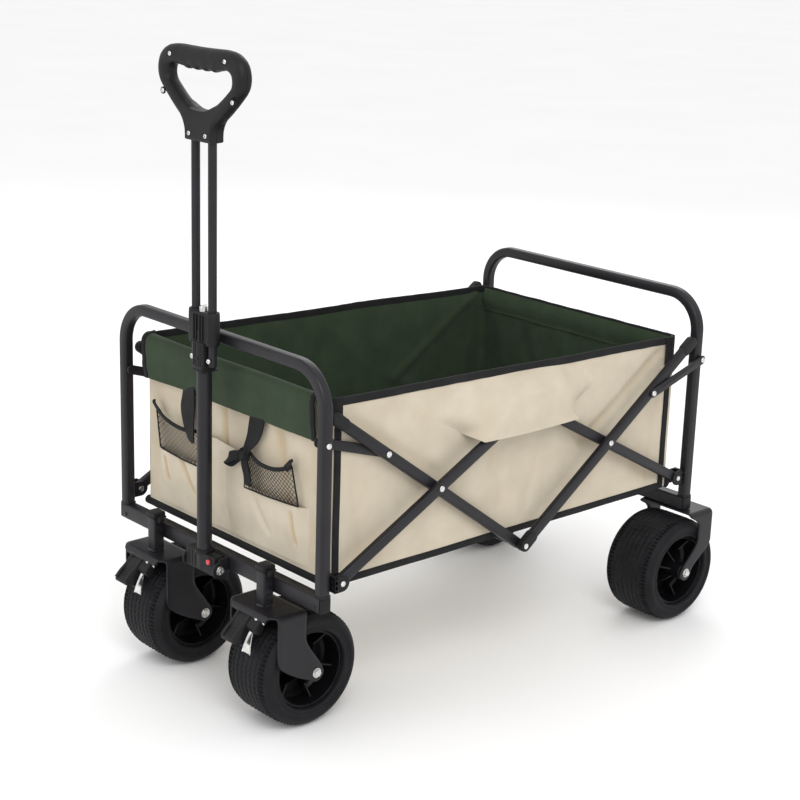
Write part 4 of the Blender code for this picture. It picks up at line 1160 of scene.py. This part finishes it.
def build_grip():
    """D-shaped grip in two moulded halves, round in section, with finger waves under the bar."""
    bottom = low("grip_front_half").z
    outer_half = [(0.0, 0.0), (0.0280, 0.0), (0.0300, 0.0020), (0.0310, 0.0140), (0.0385, 0.0262),
                  (0.0560, 0.0400), (0.0790, 0.0600), (0.0970, 0.0790), (0.1022, 0.0980),
                  (0.0965, 0.1170), (0.0800, 0.1290), (0.0580, 0.1325), (0.0300, 0.1322), (0.0, 0.1318)]
    hole_half = [(0.0, 0.0440), (0.0200, 0.0460), (0.0420, 0.0575), (0.0640, 0.0730), (0.0762, 0.0850),
                 (0.0745, 0.0990), (0.0620, 0.1045), (0.0440, 0.1022), (0.0300, 0.1015), (0.0, 0.1015)]
    outer = resampled(mirrored_ring(outer_half, 10), GRIP_STATIONS)
    hole = resampled(mirrored_ring(hole_half, 10), GRIP_STATIONS)
    thick = high("grip_rear_half").x - HANDLE.x
    rounds = 14
    for name, way in (("front", -1), ("rear", 1)):
        shape = Shape(f"grip_{name}_shell")
        rows = []
        for edge, inside in zip(outer, hole):
            inside = inside.copy()
            bar = ease((0.040 - abs(inside.x)) / 0.010) * (1 if inside.y > 0.09 else 0)
            inside.y += bar * (0.0014 * math.cos(2 * math.pi * inside.x / 0.0215) - 0.0010)
            neck = 1 - ease((edge.y - 0.004) / 0.030)
            power = mix(2.5, 9.0, neck)
            row = []
            for k in range(rounds + 1):
                angle = math.pi * k / rounds
                share = 0.5 - 0.5 * math.cos(angle)
                bulge = (1 - abs(2 * share - 1) ** power) ** (1 / power)
                spot = edge.lerp(inside, share)
                out = 0.00025 + (thick - 0.00025) * bulge
                row.append(Vector((HANDLE.x + way * out, spot.x, bottom + spot.y)))
            # Back along the parting plane.
            for share in (0.97, 0.03):
                spot = edge.lerp(inside, share)
                row.append(Vector((HANDLE.x + way * 0.00025, spot.x, bottom + spot.y)))
            rows.append(row)
        shape.grid(rows, PLASTIC, wrap=True, close=True)
        if name == "front":
            for across in SIDES.values():
                for y, up in GRIP_SCREWS:
                    face = HANDLE.x - thick
                    shape.lathe([(0.0042, 0.0022), (0.0052, 0.0022), (0.0050, -0.0001), (0.0044, -0.0003)],
                                (face, across * y, bottom + up), (1, 0, 0), PLASTIC, 24, ring=True)
                    shape.screw((face + 0.0013, across * y, bottom + up), (-1, 0, 0), 0.0037, 0.0024)
        shape.done("handle_top", [f"grip_{name}_half"], sharp=45)


# ---------------------------------------------------------------- basket

FRONT_X = -(WALL_X + 0.010)         # outer face of the front panel
CORNER_BEND = 0.014
POCKET_FOOT_Z = 0.2580
FLOOR_SEAM_X = 0.124                # the floor is sewn through at this X, both ways from the middle
OVER_PANEL_HALF = 0.235
FLAP_LOW_Z = 0.4570
FLAP_SPAN = (-0.2040, 0.2160)


def folds_with_cart(made):
    """Gives the cloth its own copy of its mesh."""
    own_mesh(made)


def ripple(u, v, scale_u, scale_v, seed):
    """Smooth noise between about -1 and 1."""
    return noise.noise(Vector((u * scale_u, v * scale_v, seed)))


def groove(u, v, start, stop, width):
    """1 along the line from start to stop, fading with distance and towards the line's ends."""
    a, b = Vector(start), Vector(stop)
    point, run = Vector((u, v)), b - a
    share = (point - a).dot(run) / run.length_squared
    near = a + run * min(max(share, 0.0), 1.0)
    fade = ease(min(share, 1 - share) * 4 + 0.5)
    return math.exp(-((point - near).length / width) ** 2) * max(fade, 0.0)


def side_depth(x, z, seed):
    """How far the side cloth lies inwards of its flat place, at x from the middle of the cart."""
    depth = 0.0
    for sign in (-1, 1):
        strength = 0.0042 if sign > 0 else 0.0022
        depth += strength * groove(x, z, (sign * 0.350, 0.496), (sign * 0.150, 0.360), 0.0085)
        depth += 0.0022 * groove(x, z, (sign * 0.345, 0.262), (sign * 0.120, 0.378), 0.010)
        depth += 0.0018 * groove(x, z, (sign * 0.340, 0.420), (sign * 0.318, 0.262), 0.008)
        depth += 0.0016 * groove(x, z, (sign * 0.060, 0.405), (sign * 0.020, 0.262), 0.012)
    depth += (0.0014 * (0.6 + ripple(x, z, 15, 3, seed))
              + 0.0008 * (0.5 + ripple(x + z, z, 30, 22, seed + 7)))
    edge = min(z - HEM_Z, rim_z(x) - z, WALL_X - abs(x))
    return max(depth, 0.0) * ease(edge / 0.030)


def end_depth(end, y, z, bottom, top):
    """How far the cloth of an end panel lies inwards of its flat place."""
    sign = ENDS[end]
    depth = 0.0022 * (0.55 + ripple(y, z, 11, 2.4, 9.0 + sign))
    depth += 0.0012 * (0.5 + ripple(y + 0.4 * z, z, 24, 9, 2.0 + sign))
    if end == "front":
        depth += 0.0050 * groove(y, z, (0.022, 0.480), (0.016, 0.330), 0.006)
        depth += 0.0030 * groove(y, z, (-0.115, 0.450), (-0.150, 0.270), 0.012)
    else:
        depth += 0.003 * groove(y, z, (-0.10, 0.47), (-0.03, 0.30), 0.010)
        depth += 0.003 * groove(y, z, (0.12, 0.47), (0.05, 0.30), 0.012)
        depth += 0.002 * groove(y, z, (0.20, 0.47), (0.14, 0.27), 0.012)
    border = ease(min(z - bottom, top - z) / 0.025) * ease((SHELL_Y - abs(y)) / 0.03)
    return max(depth, 0.0) * border


def build_side_wall(side):
    """Beige outer cloth with a green lining, one sheet from hem to rim."""
    across = SIDES[side]
    shape = Shape(f"basket_side_cloth_{side}")

    def spot(s, t):
        x = mix(-WALL_X, WALL_X, s)
        z = mix(HEM_Z + 0.002, rim_z(x) - 0.001, t)
        depth = side_depth(x, z, 3.1 + across)
        # The second value is painted fold shade, more where the cloth lies further in.
        return at(x, across * (SHELL_Y - 0.0006 - depth), z), 0.5 * min(depth / 0.006, 1.0) ** 1.5

    rows, fold_shades = unpaired(woven(190, 72, spot))
    shape.grid(rows, BEIGE, fold_shades=fold_shades)
    made = shape.done("rear_frame", [f"basket_side_{side}"],
                      sheet=(CLOTH, GREEN, GREEN, (0, across, 0)), sharp=60)
    declare_cloth(rows)
    folds_with_cart(made)


def build_end_panel(end):
    """A panel across one end of the basket whose edges wrap round the corners onto the sides."""
    sign = ENDS[end]
    bottom = high(f"{end}_floor_bar").z + 0.0010
    face = sign * abs(FRONT_X if end == "front" else WALL_X + 0.004)
    shape = Shape(f"basket_{end}_cloth")
    inside = SHELL_Y - 0.0012
    wrap = 0.010
    bend = CORNER_BEND
    straight = 2 * (inside - bend)
    quarter = math.pi / 2 * bend
    total = straight + 2 * quarter + 2 * wrap

    def spot(share, t):
        s = total * share
        if s < wrap:
            x, y, nx, ny = face - sign * (bend + wrap - s), -inside, 0, -1
        elif s < wrap + quarter:
            angle = (s - wrap) / bend
            x, y = face - sign * bend * (1 - math.sin(angle)), -inside + bend * (1 - math.cos(angle))
            nx, ny = sign * math.sin(angle), -math.cos(angle)
        elif s < wrap + quarter + straight:
            x, y, nx, ny = face, -inside + bend + s - wrap - quarter, sign, 0
        elif s < total - wrap:
            angle = (total - wrap - s) / bend
            x, y = face - sign * bend * (1 - math.sin(angle)), inside - bend * (1 - math.cos(angle))
            nx, ny = sign * math.sin(angle), math.cos(angle)
        else:
            x, y, nx, ny = face - sign * (bend + s - total + wrap), inside, 0, 1
        z = mix(bottom, rim_z(face) - 0.002, t)
        depth = end_depth(end, y, z, bottom, rim_z(face))
        # The second value is painted fold shade, more where the cloth lies further in.
        return at(x - nx * depth, y - ny * depth, z), min(depth / 0.006, 1.0) ** 1.5

    rows, fold_shades = unpaired(woven(130, 70, spot))
    shape.grid(rows, BEIGE, fold_shades=fold_shades)
    made = shape.done(f"{end}_frame", [f"basket_{end}_wall"],
                      sheet=(CLOTH, GREEN, GREEN, (sign, 0, 0)), sharp=60)
    declare_cloth(rows)


def build_lining_band(end, body, height):
    """The lining's folded band inside an end's rim."""
    sign = ENDS[end]
    face = sign * (WALL_X + (0.004 if end == "rear" else 0.010)) - sign * 0.0060
    shape = Shape(f"basket_{end}_lining_band")

    def spot(s, t):
        y = mix(-SHELL_Y + 0.010, SHELL_Y - 0.010, s)
        z = rim_z(face) - 0.002 - height * (1 + 0.10 * ripple(y, 0, 9, 1, 5.0)) * t
        swell = 0.0030 * math.sin(math.pi * min(t * 18 / 16, 1.0)) + 0.0012 * ripple(y, z, 14, 30, 6.0)
        return at(face - sign * swell, y, z)

    rows = woven(110, 18, spot)
    shape.grid(rows, GREEN)
    made = shape.done(body, sheet=(0.0016, GREEN, GREEN, (-sign, 0, 0)), sharp=60)
    declare_cloth(rows)


def build_floor():
    """Padded floor board, sewn in three parts across, with a lining on top."""
    shape = Shape("basket_floor_pad")
    top, bottom = high("basket_floor").z, low("basket_floor").z
    reach_x, reach_y = WALL_X - 0.004, SHELL_Y - 0.004

    def spot(s, t):
        x, y = mix(-reach_x, reach_x, t), mix(-reach_y, reach_y, s)
        seam = min(abs(x - FLOOR_SEAM_X), abs(x + FLOOR_SEAM_X))
        edge = min(reach_x - abs(x), reach_y - abs(y))
        dip = 0.0022 * math.exp(-(seam / 0.006) ** 2) + 0.0022 * math.exp(-(edge / 0.007) ** 2)
        return at(x, y, top - dip - 0.0004 * (1 + ripple(x, y, 12, 12, 1.0)))

    rows = woven(60, 120, spot)
    shape.grid(rows, GREEN)
    made = shape.done("rear_frame", ["basket_floor"],
                      sheet=(top - bottom - 0.0012, BEIGE, TAPE, (0, 0, 1)), sharp=60)
    folds_with_cart(made)


def build_rim_binding():
    """Black tape bound over the rim of both sides and the rear, in one run."""
    shape = Shape("basket_rim_binding")
    inside, bend, rear = SHELL_Y - 0.0010, 0.016, WALL_X + 0.0035
    path = []
    for across in (-1, 1):
        leg = []
        for i in range(121):
            x = mix(-WALL_X, rear - bend, i / 120)
            sag = 0.0018 * ripple(x, across, 5, 1, 4.0) + 0.0006 * ripple(x, across, 40, 1, 8.0)
            leg.append((x, across * inside, rim_z(x) - 0.005 + sag))
        for x, y in arc((rear - bend, across * (inside - bend)), bend, across * 90, 0, 10)[1:]:
            leg.append((x, y, rim_z(rear) - 0.005))
        path += leg if across < 0 else leg[::-1]
        if across < 0:
            path += [(rear, mix(-(inside - bend), inside - bend, k / 40),
                      rim_z(rear) - 0.005 + 0.0010 * ripple(k, 0, 0.3, 1, 2.0)) for k in range(1, 40)]
    shape.sweep([at(*p) for p in path], rounded(0.0062, 0.0019, 0.0016, 4), (0, 0, 1), TAPE)
    made = shape.done("rear_frame", sharp=50)
    folds_with_cart(made)


def build_side_bindings(side):
    """Tape down the two upright corners and along the hem of one side."""
    across = SIDES[side]
    face = across * (SHELL_Y - 0.0002)
    shape = Shape(f"basket_side_binding_{side}")
    for x in (-WALL_X + 0.0040, WALL_X - 0.0125):
        path = []
        for k in range(31):
            z = mix(HEM_Z + 0.003, rim_z(x) - 0.006, k / 30)
            path.append(at(x + 0.0007 * ripple(z, x, 14, 1, 3.0), face, z))
        shape.sweep(path, rounded(0.0062, 0.0011, 0.0009, 3), (1, 0, 0), TAPE)
    path = []
    for k in range(121):
        x = mix(-WALL_X, WALL_X - 0.006, k / 120)
        z = HEM_Z + 0.0055 + 0.0007 * ripple(x, across, 9, 1, 6.0)
        path.append(at(x, across * (SHELL_Y - 0.0010), z))
    shape.sweep(path, rounded(0.0056, 0.0016, 0.0012, 3), (0, 0, 1), TAPE)
    made = shape.done("rear_frame", sharp=50)
    folds_with_cart(made)


def build_hem_sleeve(end):
    """Tape sleeve sewn round the floor bar of one end."""
    shape = Shape(f"basket_hem_sleeve_{end}")
    spot, reach = middle(f"{end}_floor_bar"), high(f"{end}_floor_bar").y - 0.001
    path = [(spot.x, mix(-reach, reach, k / 60), spot.z) for k in range(61)]

    def gather(share):
        return 1.0 + 0.05 * ripple(share, 0, 22, 1, 5.0)

    section = arc((0, 0), 0.0072, 90, 434, 20)
    shape.sweep(path, section, (0, 0, 1), TAPE, scale=gather)
    shape.done(f"{end}_frame", sharp=50)


def build_corner_patch(end, side):
    """Black cloth gusset over a rim corner, where the diagonal's tip reaches in."""
    sign, across = ENDS[end], SIDES[side]
    shape = Shape(f"basket_corner_patch_{end}_{side}")
    face = WALL_X + (0.0052 if end == "rear" else 0.0112)
    bend, run = CORNER_BEND, 0.016 if end == "rear" else 0.008
    inside = SHELL_Y + 0.0022
    drop = 0.050 if end == "rear" else 0.030
    quarter = bend * math.pi / 2

    def spot(share, t):
        z = rim_z(sign * face) + 0.0012 - drop * t
        s = mix(-run, quarter + run * 0.8, share)
        if s < 0:
            x, y = face - bend + s, inside
        elif s < quarter:
            x, y = face - bend + bend * math.sin(s / bend), inside - bend + bend * math.cos(s / bend)
        else:
            x, y = face, inside - bend - (s - quarter)
        return at(sign * x, across * y, z + 0.0010 * ripple(s, z, 90, 60, 3.0))

    rows = woven(32, 16, spot)
    shape.grid(rows, TAPE)
    made = shape.done(f"{end}_frame",
                      sheet=(0.0012, TAPE, TAPE, (sign, across, 0)), sharp=60)
    declare_cloth(rows)


SLIT_X, SLIT_Z = 0.104, 0.4178      # where a riser comes out from under the over-panel


def build_over_panel(side):
    """Outer cloth drawn over the scissor's top joint like a tent.

    Both risers come out from under its hem. Beyond them it sinks flush into the side cloth.
    """
    across = SIDES[side]
    shape = Shape(f"basket_over_panel_{side}")
    hung = LAYER_Y["outer"] + BAR_THICK / 2 + 0.0042
    joint_top = TOP_MIDDLE.z + 0.0135

    def spot(s, share):
        x = mix(-OVER_PANEL_HALF, OVER_PANEL_HALF, s)
        reach = abs(x)
        if reach < SLIT_X:
            low_z = SLIT_Z - 0.0016 * math.cos(math.pi * reach / SLIT_X / 2)
        else:
            low_z = SLIT_Z + 0.5 * (reach - SLIT_X)
        rim = rim_z(x) - 0.008
        z = mix(rim, low_z, share)
        climb = min((rim - z) / (rim - joint_top), 1.0)
        cover = SLIT_X - 0.080 * (z - SLIT_Z) / (joint_top - SLIT_Z)
        fall = mix(0.024, 0.150, ease((z - SLIT_Z) / 0.050))
        proud = math.sin(climb * math.pi / 2) * (1 - ease((reach - cover) / fall))
        flush = SHELL_Y - 0.0011 - side_depth(x, z, 3.1 + across)
        fold = 0.0007 * ripple(x, z, 16, 10, 11.0 + across)
        fold += 0.0010 * ripple(x, z, 9, 4, 1.0 + across)
        y = mix(flush, hung, proud) + fold * ease(share * 3) * ease(proud * 1.5)
        return at(x, across * y, z)

    rows = woven(170, 44, spot)
    shape.grid(rows, BEIGE)
    made = shape.done("rear_frame", sheet=(0.0009, BEIGE, BEIGE, (0, across, 0)), sharp=60)
    declare_cloth(rows)
    folds_with_cart(made)


def build_flap():
    """The green lining folded out over the handle end's rim: a soft roll, then a hanging flap."""
    shape = Shape("basket_front_flap")
    rows = []
    columns = 150
    for i in range(columns + 1):
        y = mix(*FLAP_SPAN, i / columns)
        roll = 0.0085 + 0.0040 * ease((y - 0.13) / 0.08) + 0.0008 * ripple(y, 0, 12, 1, 2.0)
        top = rim_z(-WALL_X) - roll + 0.0038 + 0.0014 * ripple(y, 0, 6, 1, 9.0)
        core = FRONT_X - 0.0015
        row = []
        for k in range(13):
            z = mix(top - 0.045, top, k / 13)
            row.append((core + roll + 0.0012 * ripple(y, z, 13, 22, 4.0), z))
        for k in range(17):
            angle = math.pi * k / 16
            row.append((core + roll * math.cos(angle), top + roll * math.sin(angle)))
        edge = FLAP_LOW_Z + 0.0020 * ripple(y, 0, 7, 1, 6.0)
        for k in range(1, 25):
            share = k / 24
            z = mix(top, edge, share)
            swell = 0.0030 * math.sin(math.pi * share * 0.9)
            swell += 0.0030 * ripple(y, z, 4, 52, 1.0) + 0.0016 * ripple(y + z, z, 16, 14, 2.0)
            row.append((core - roll * mix(1.0, 0.55, ease(share)) - swell * (1 - 0.5 * share), z))
        rows.append([at(x, y, z) for x, z in row])
    shape.grid(rows, GREEN)
    ends = [rows[0], rows[-1]]
    made = shape.done("front_frame", sheet=(0.0018, GREEN, TAPE, (-1, 0, 0.4)), sharp=60)
    declare_cloth(rows)
    edging = Shape("basket_flap_edging")
    for row in ends:
        edging.sweep(row[12:], rounded(0.0050, 0.0016, 0.0012, 3), (0, 1, 0), TAPE)
    edging.done("front_frame", sharp=50)


# Pockets on the front panel, in Y and Z: the nets' outlines as (outer, inner) Y at top and bottom.
NET_LOW_Z = 0.343
NETS = {
    "left": {"top": (-0.156, -0.052), "bottom": (-0.172, -0.042), "top_z": (0.4060, 0.4040), "sag": 0.013},
    "right": {"top": (0.190, 0.072), "bottom": (0.180, 0.062), "top_z": (0.4130, 0.4020), "sag": 0.010},
}
NET_CELL = 0.0088
PATCH_REACH = (-0.186, 0.196)


def net_point(side, s, t):
    """A point of the net pocket: s from its outer edge inwards, t from its foot to its hem."""
    net = NETS[side]
    y = mix(mix(*net["bottom"], s), mix(*net["top"], s), t)
    hem = mix(*net["top_z"], s) - net["sag"] * 4 * s * (1 - s)
    z = mix(NET_LOW_Z + 0.006 * (1 - s), hem, t)
    bulge = 0.0060 * math.sin(math.pi * min(max(s, 0), 1)) * (0.5 + 0.5 * t)
    bulge += 0.0012 * ripple(s * 3, t * 3, 1, 1, 5.0)
    return at(FRONT_X - 0.0075 - bulge, y, z)


def build_net(side):
    """Diamond net of black cord with a taped hem, which ends in a folded ear."""
    net = NETS[side]
    width = abs(net["bottom"][0] - net["bottom"][1])
    across = 2 * round(width / NET_CELL)
    up = 2 * round(0.062 / NET_CELL)
    work = bmesh.new()
    verts = {}
    for i in range(across + 1):
        for j in range(up + 1):
            if (i + j) % 2 == 0:
                verts[i, j] = work.verts.new(net_point(side, i / across, j / up))
    for i in range(across + 1):
        for j in range(up + 1):
            if (i + j) % 2:
                around = [(i - 1, j), (i, j - 1), (i + 1, j), (i, j + 1)]
                corners = [verts[spot] for spot in around if spot in verts]
                if len(corners) > 2:
                    work.faces.new(corners)
    mesh = bpy.data.meshes.new(f"pocket_net_{side}")
    work.to_mesh(mesh)
    work.free()
    made = bpy.data.objects.new(f"pocket_net_{side}", mesh)
    bpy.context.scene.collection.objects.link(made)
    cords = made.modifiers.new("cords", "WIREFRAME")
    cords.thickness = 0.0012
    cords.use_even_offset = False
    cords.use_boundary = True
    mesh.materials.append(NET)
    settle(made)
    made.data.shade_smooth()
    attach(made, "front_frame")
    hem = Shape(f"pocket_hem_{side}")
    path = [net_point(side, k / 40, 1.0) for k in range(41)]
    hem.sweep(path, rounded(0.0034, 0.0013, 0.0011, 3), (0, 0, 1), TAPE)
    for s in (0.0, 1.0):
        edge = [net_point(side, s, k / 12) for k in range(13)]
        hem.sweep(edge, rounded(0.0013, 0.0010, 0.0008, 3), (0, 1, 0), TAPE)
    foot = [net_point(side, k / 30, 0.0) for k in range(31)]
    hem.sweep(foot, rounded(0.0012, 0.0008, 0.0006, 3), (0, 0, 1), TAPE)
    tip = net_point(side, 0.0, 1.0)
    lean = 1 if net["top"][0] > 0 else -1
    ear = [tip + Vector((-0.001, -lean * 0.012, -0.006)), tip + Vector((-0.003, -lean * 0.005, 0.001)),
           tip + Vector((-0.004, lean * 0.001, 0.008)), tip + Vector((-0.002, lean * 0.004, 0.012))]
    hem.sweep(smooth_line(ear, 6), rounded(0.0058, 0.0012, 0.0010, 3), (0, 1, 0.2), TAPE,
              scale=lambda share: 1.0 - 0.55 * share)
    hem.done("front_frame", sharp=50)


def patch_top(y):
    """Height of the patch pocket's upper edge: low under the nets, higher between them."""
    left, right = (NETS[side]["bottom"][1] for side in SIDES)
    between = ease((y - left + 0.006) / 0.012) * ease((right + 0.006 - y) / 0.012)
    return mix(NET_LOW_Z + 0.004, 0.4010 - 0.10 * abs(y - 0.03), between)


def build_patch_pocket():
    """Beige patch pocket across the front panel, pleated beside the nets."""
    shape = Shape("patch_pocket_cloth")

    def spot(s, t):
        y = mix(*PATCH_REACH, s)
        z = mix(POCKET_FOOT_Z, patch_top(y), t)
        share = (z - POCKET_FOOT_Z) / 0.088
        edge = ease(min(y - PATCH_REACH[0], PATCH_REACH[1] - y) / 0.022)
        bulge = 0.0022 + 0.0075 * edge * ease(share * 1.5) * (0.75 + 0.35 * ripple(y, z, 9, 8, 3.0))
        floor_depth = end_depth("front", y, z, high("front_floor_bar").z, rim_z(FRONT_X))
        # Soft folds where the pocket is gathered, and tight ones that also get painted fold shade.
        soft = 0.0050 * groove(y, z, (0.016, 0.380), (0.008, 0.262), 0.0080)
        soft += 0.0026 * groove(y, z, (-0.060, 0.338), (-0.100, 0.285), 0.0070)
        tight = 0.0040 * groove(y, z, (0.168, 0.336), (0.158, 0.298), 0.0038)
        tight += 0.0034 * groove(y, z, (0.128, 0.352), (0.088, 0.296), 0.0042)
        tight += 0.0034 * groove(y, z, (-0.152, 0.335), (-0.162, 0.285), 0.0040)
        lift = max(bulge - soft - tight, 0.0012)
        x = FRONT_X + mix(floor_depth - 0.0002, -lift, edge)
        return at(x, y, z), min(tight / 0.0034, 1.0)

    rows, fold_shades = unpaired(woven(190, 44, spot))
    shape.grid(rows, BEIGE, fold_shades=fold_shades)
    made = shape.done("front_frame", sheet=(0.0010, BEIGE, BEIGE, (-1, 0, 0)), sharp=60)
    declare_cloth(rows)


def build_straps():
    """The two closing straps: one tied in a half bow, one hanging twisted."""
    shape = Shape("closing_straps")

    def webbing_run(points, widths, flat=(0, 1, 0)):
        line = smooth_line([Vector((*p, w)) for p, w in zip(points, widths)], 8)
        rows = []
        for i, spot in enumerate(line):
            place, width = Vector(spot[:3]), spot[3]
            before, after = line[max(i - 1, 0)], line[min(i + 1, len(line) - 1)]
            along = (Vector(after[:3]) - Vector(before[:3])).normalized()
            side = (Vector(flat) - along * Vector(flat).dot(along)).normalized()
            up = along.cross(side)
            rows.append([place + side * (u * width) + up * v for u, v in rounded(0.5, 0.0010, 0.0008, 3)])
        shape.grid(rows, TAPE, wrap=True, caps=True)

    x = CENTRE_X + FRONT_X
    near = [(x - 0.004, -0.071, FLAP_LOW_Z + 0.020), (x - 0.007, -0.070, 0.450), (x - 0.009, -0.064, 0.428),
            (x - 0.014, -0.056, 0.409), (x - 0.0165, -0.053, 0.402)]
    webbing_run(near, [0.034, 0.034, 0.028, 0.016, 0.012])
    knot = [(x - 0.016 + 0.005 * math.cos(a), -0.053 + 0.0085 * math.sin(a), 0.399 + 0.004 * math.sin(2 * a))
            for a in (2 * math.pi * k / 8 for k in range(9))]
    webbing_run(knot, [0.011] * 9, flat=(0, 0.2, 1))
    bow = [(x - 0.018, -0.050, 0.398), (x - 0.021, -0.038, 0.396), (x - 0.022, -0.024, 0.389),
           (x - 0.020, -0.017, 0.382), (x - 0.016, -0.021, 0.379), (x - 0.015, -0.034, 0.387),
           (x - 0.016, -0.048, 0.395)]
    webbing_run(bow, [0.010, 0.014, 0.016, 0.015, 0.014, 0.012, 0.009], flat=(0.2, -0.4, 1))
    tail = [(x - 0.017, -0.054, 0.398), (x - 0.018, -0.056, 0.385), (x - 0.017, -0.061, 0.368),
            (x - 0.0145, -0.058, 0.352)]
    webbing_run(tail, [0.011, 0.015, 0.016, 0.013])
    far = [(x - 0.004, 0.104, FLAP_LOW_Z + 0.018), (x - 0.007, 0.103, 0.450), (x - 0.010, 0.101, 0.432),
           (x - 0.013, 0.094, 0.410), (x - 0.015, 0.086, 0.392), (x - 0.014, 0.082, 0.381)]
    webbing_run(far, [0.030, 0.040, 0.044, 0.034, 0.022, 0.010], flat=(0.15, 1, 0))
    shape.done("front_frame", sharp=50)


# ---------------------------------------------------------------- stage

def build_stage():
    """Pale floor, white surroundings and three large soft lights."""
    mesh = bpy.data.meshes.new("floor")
    work = bmesh.new()
    bmesh.ops.create_circle(work, cap_ends=True, radius=60, segments=96)
    work.to_mesh(mesh)
    work.free()
    floor = bpy.data.objects.new("floor", mesh)
    bpy.context.scene.collection.objects.link(floor)
    pale = Finish("pale_floor", 0.9)
    pale.paint(pale.colour(pale.noise(1.5), [(0.3, (0.92, 0.92, 0.92)), (0.7, (0.94, 0.94, 0.94))]))
    mesh.materials.append(pale.material)
    world = bpy.data.worlds.new("studio")
    world.use_nodes = True
    world.node_tree.nodes["Background"].inputs["Color"].default_value = (1, 1, 1, 1)
    world.node_tree.nodes["Background"].inputs["Strength"].default_value = 1.0
    bpy.context.scene.world = world
    bpy.context.scene.view_settings.view_transform = "Standard"
    aim = Vector((0, 0, 0.35))
    for name, spot, size, watts in (("key", (-1.6, -2.6, 3.0), 2.0, 55), ("fill", (-3.2, 0.8, 1.6), 2.0, 12),
                                    ("rim", (2.4, 1.8, 2.4), 2.0, 25)):
        light = bpy.data.lights.new(name, "AREA")
        light.shape = "DISK"
        light.size = size
        light.energy = watts
        lamp = bpy.data.objects.new(name, light)
        lamp.location = spot
        lamp.rotation_euler = (aim - Vector(spot)).to_track_quat("-Z", "Y").to_euler()
        bpy.context.scene.collection.objects.link(lamp)


def build_camera():
    """A long lens at the height of a standing person's chest, turned a little off level."""
    yaw, pitch, roll = (math.radians(angle) for angle in (48.216, -16.409, 1.676))
    ahead = Vector((math.cos(pitch) * math.cos(yaw), math.cos(pitch) * math.sin(yaw), math.sin(pitch)))
    right = ahead.cross(Vector((0, 0, 1))).normalized()
    up = right.cross(ahead)
    turned_right = right * math.cos(roll) + up * math.sin(roll)
    turned_up = up * math.cos(roll) - right * math.sin(roll)
    camera = bpy.data.cameras.new("camera")
    camera.lens = 79.47
    camera.shift_x = 0.016
    camera.shift_y = 0.0026
    holder = bpy.data.objects.new("camera", camera)
    frame_axes = Matrix((turned_right, turned_up, -ahead)).transposed().to_4x4()
    holder.matrix_world = Matrix.Translation((CENTRE_X - 1.9056, -2.0581, 1.2236)) @ frame_axes
    bpy.context.scene.collection.objects.link(holder)
    bpy.context.scene.camera = holder


# ---------------------------------------------------------------- the cart

build_camera()
build_stage()
for end in ENDS:
    build_hoop(end)
    build_beam(end)
    build_floor_bar(f"{end}_floor_bar", f"{end}_frame")
    build_hem_sleeve(end)
    for side in SIDES:
        build_pivot_bracket(end, side)
        build_bar("riser", end, side)
        build_bar("diagonal", end, side)
        build_link(end, side)
        build_tyre(end, side)
        build_hub(end, side)
        build_axle(end, side, f"caster_{side}" if end == "front" else "rear_frame")
        build_corner_patch(end, side)
build_floor_bar("middle_floor_bar", "front_diagonal_right")
for side in SIDES:
    build_rear_fork(side)
    build_caster_fork(side)
    build_caster_post(side)
    build_brake_pedal(side)
    build_rod(side)
    build_side_wall(side)
    build_side_bindings(side)
    build_over_panel(side)
    build_net(side)
build_handle_bracket()
build_handle_base()
build_handle_tube()
build_collar()
build_grip()
for end in ENDS:
    build_end_panel(end)
build_lining_band("rear", "rear_frame", 0.040)
build_floor()
build_rim_binding()
build_flap()
build_patch_pocket()
build_straps()
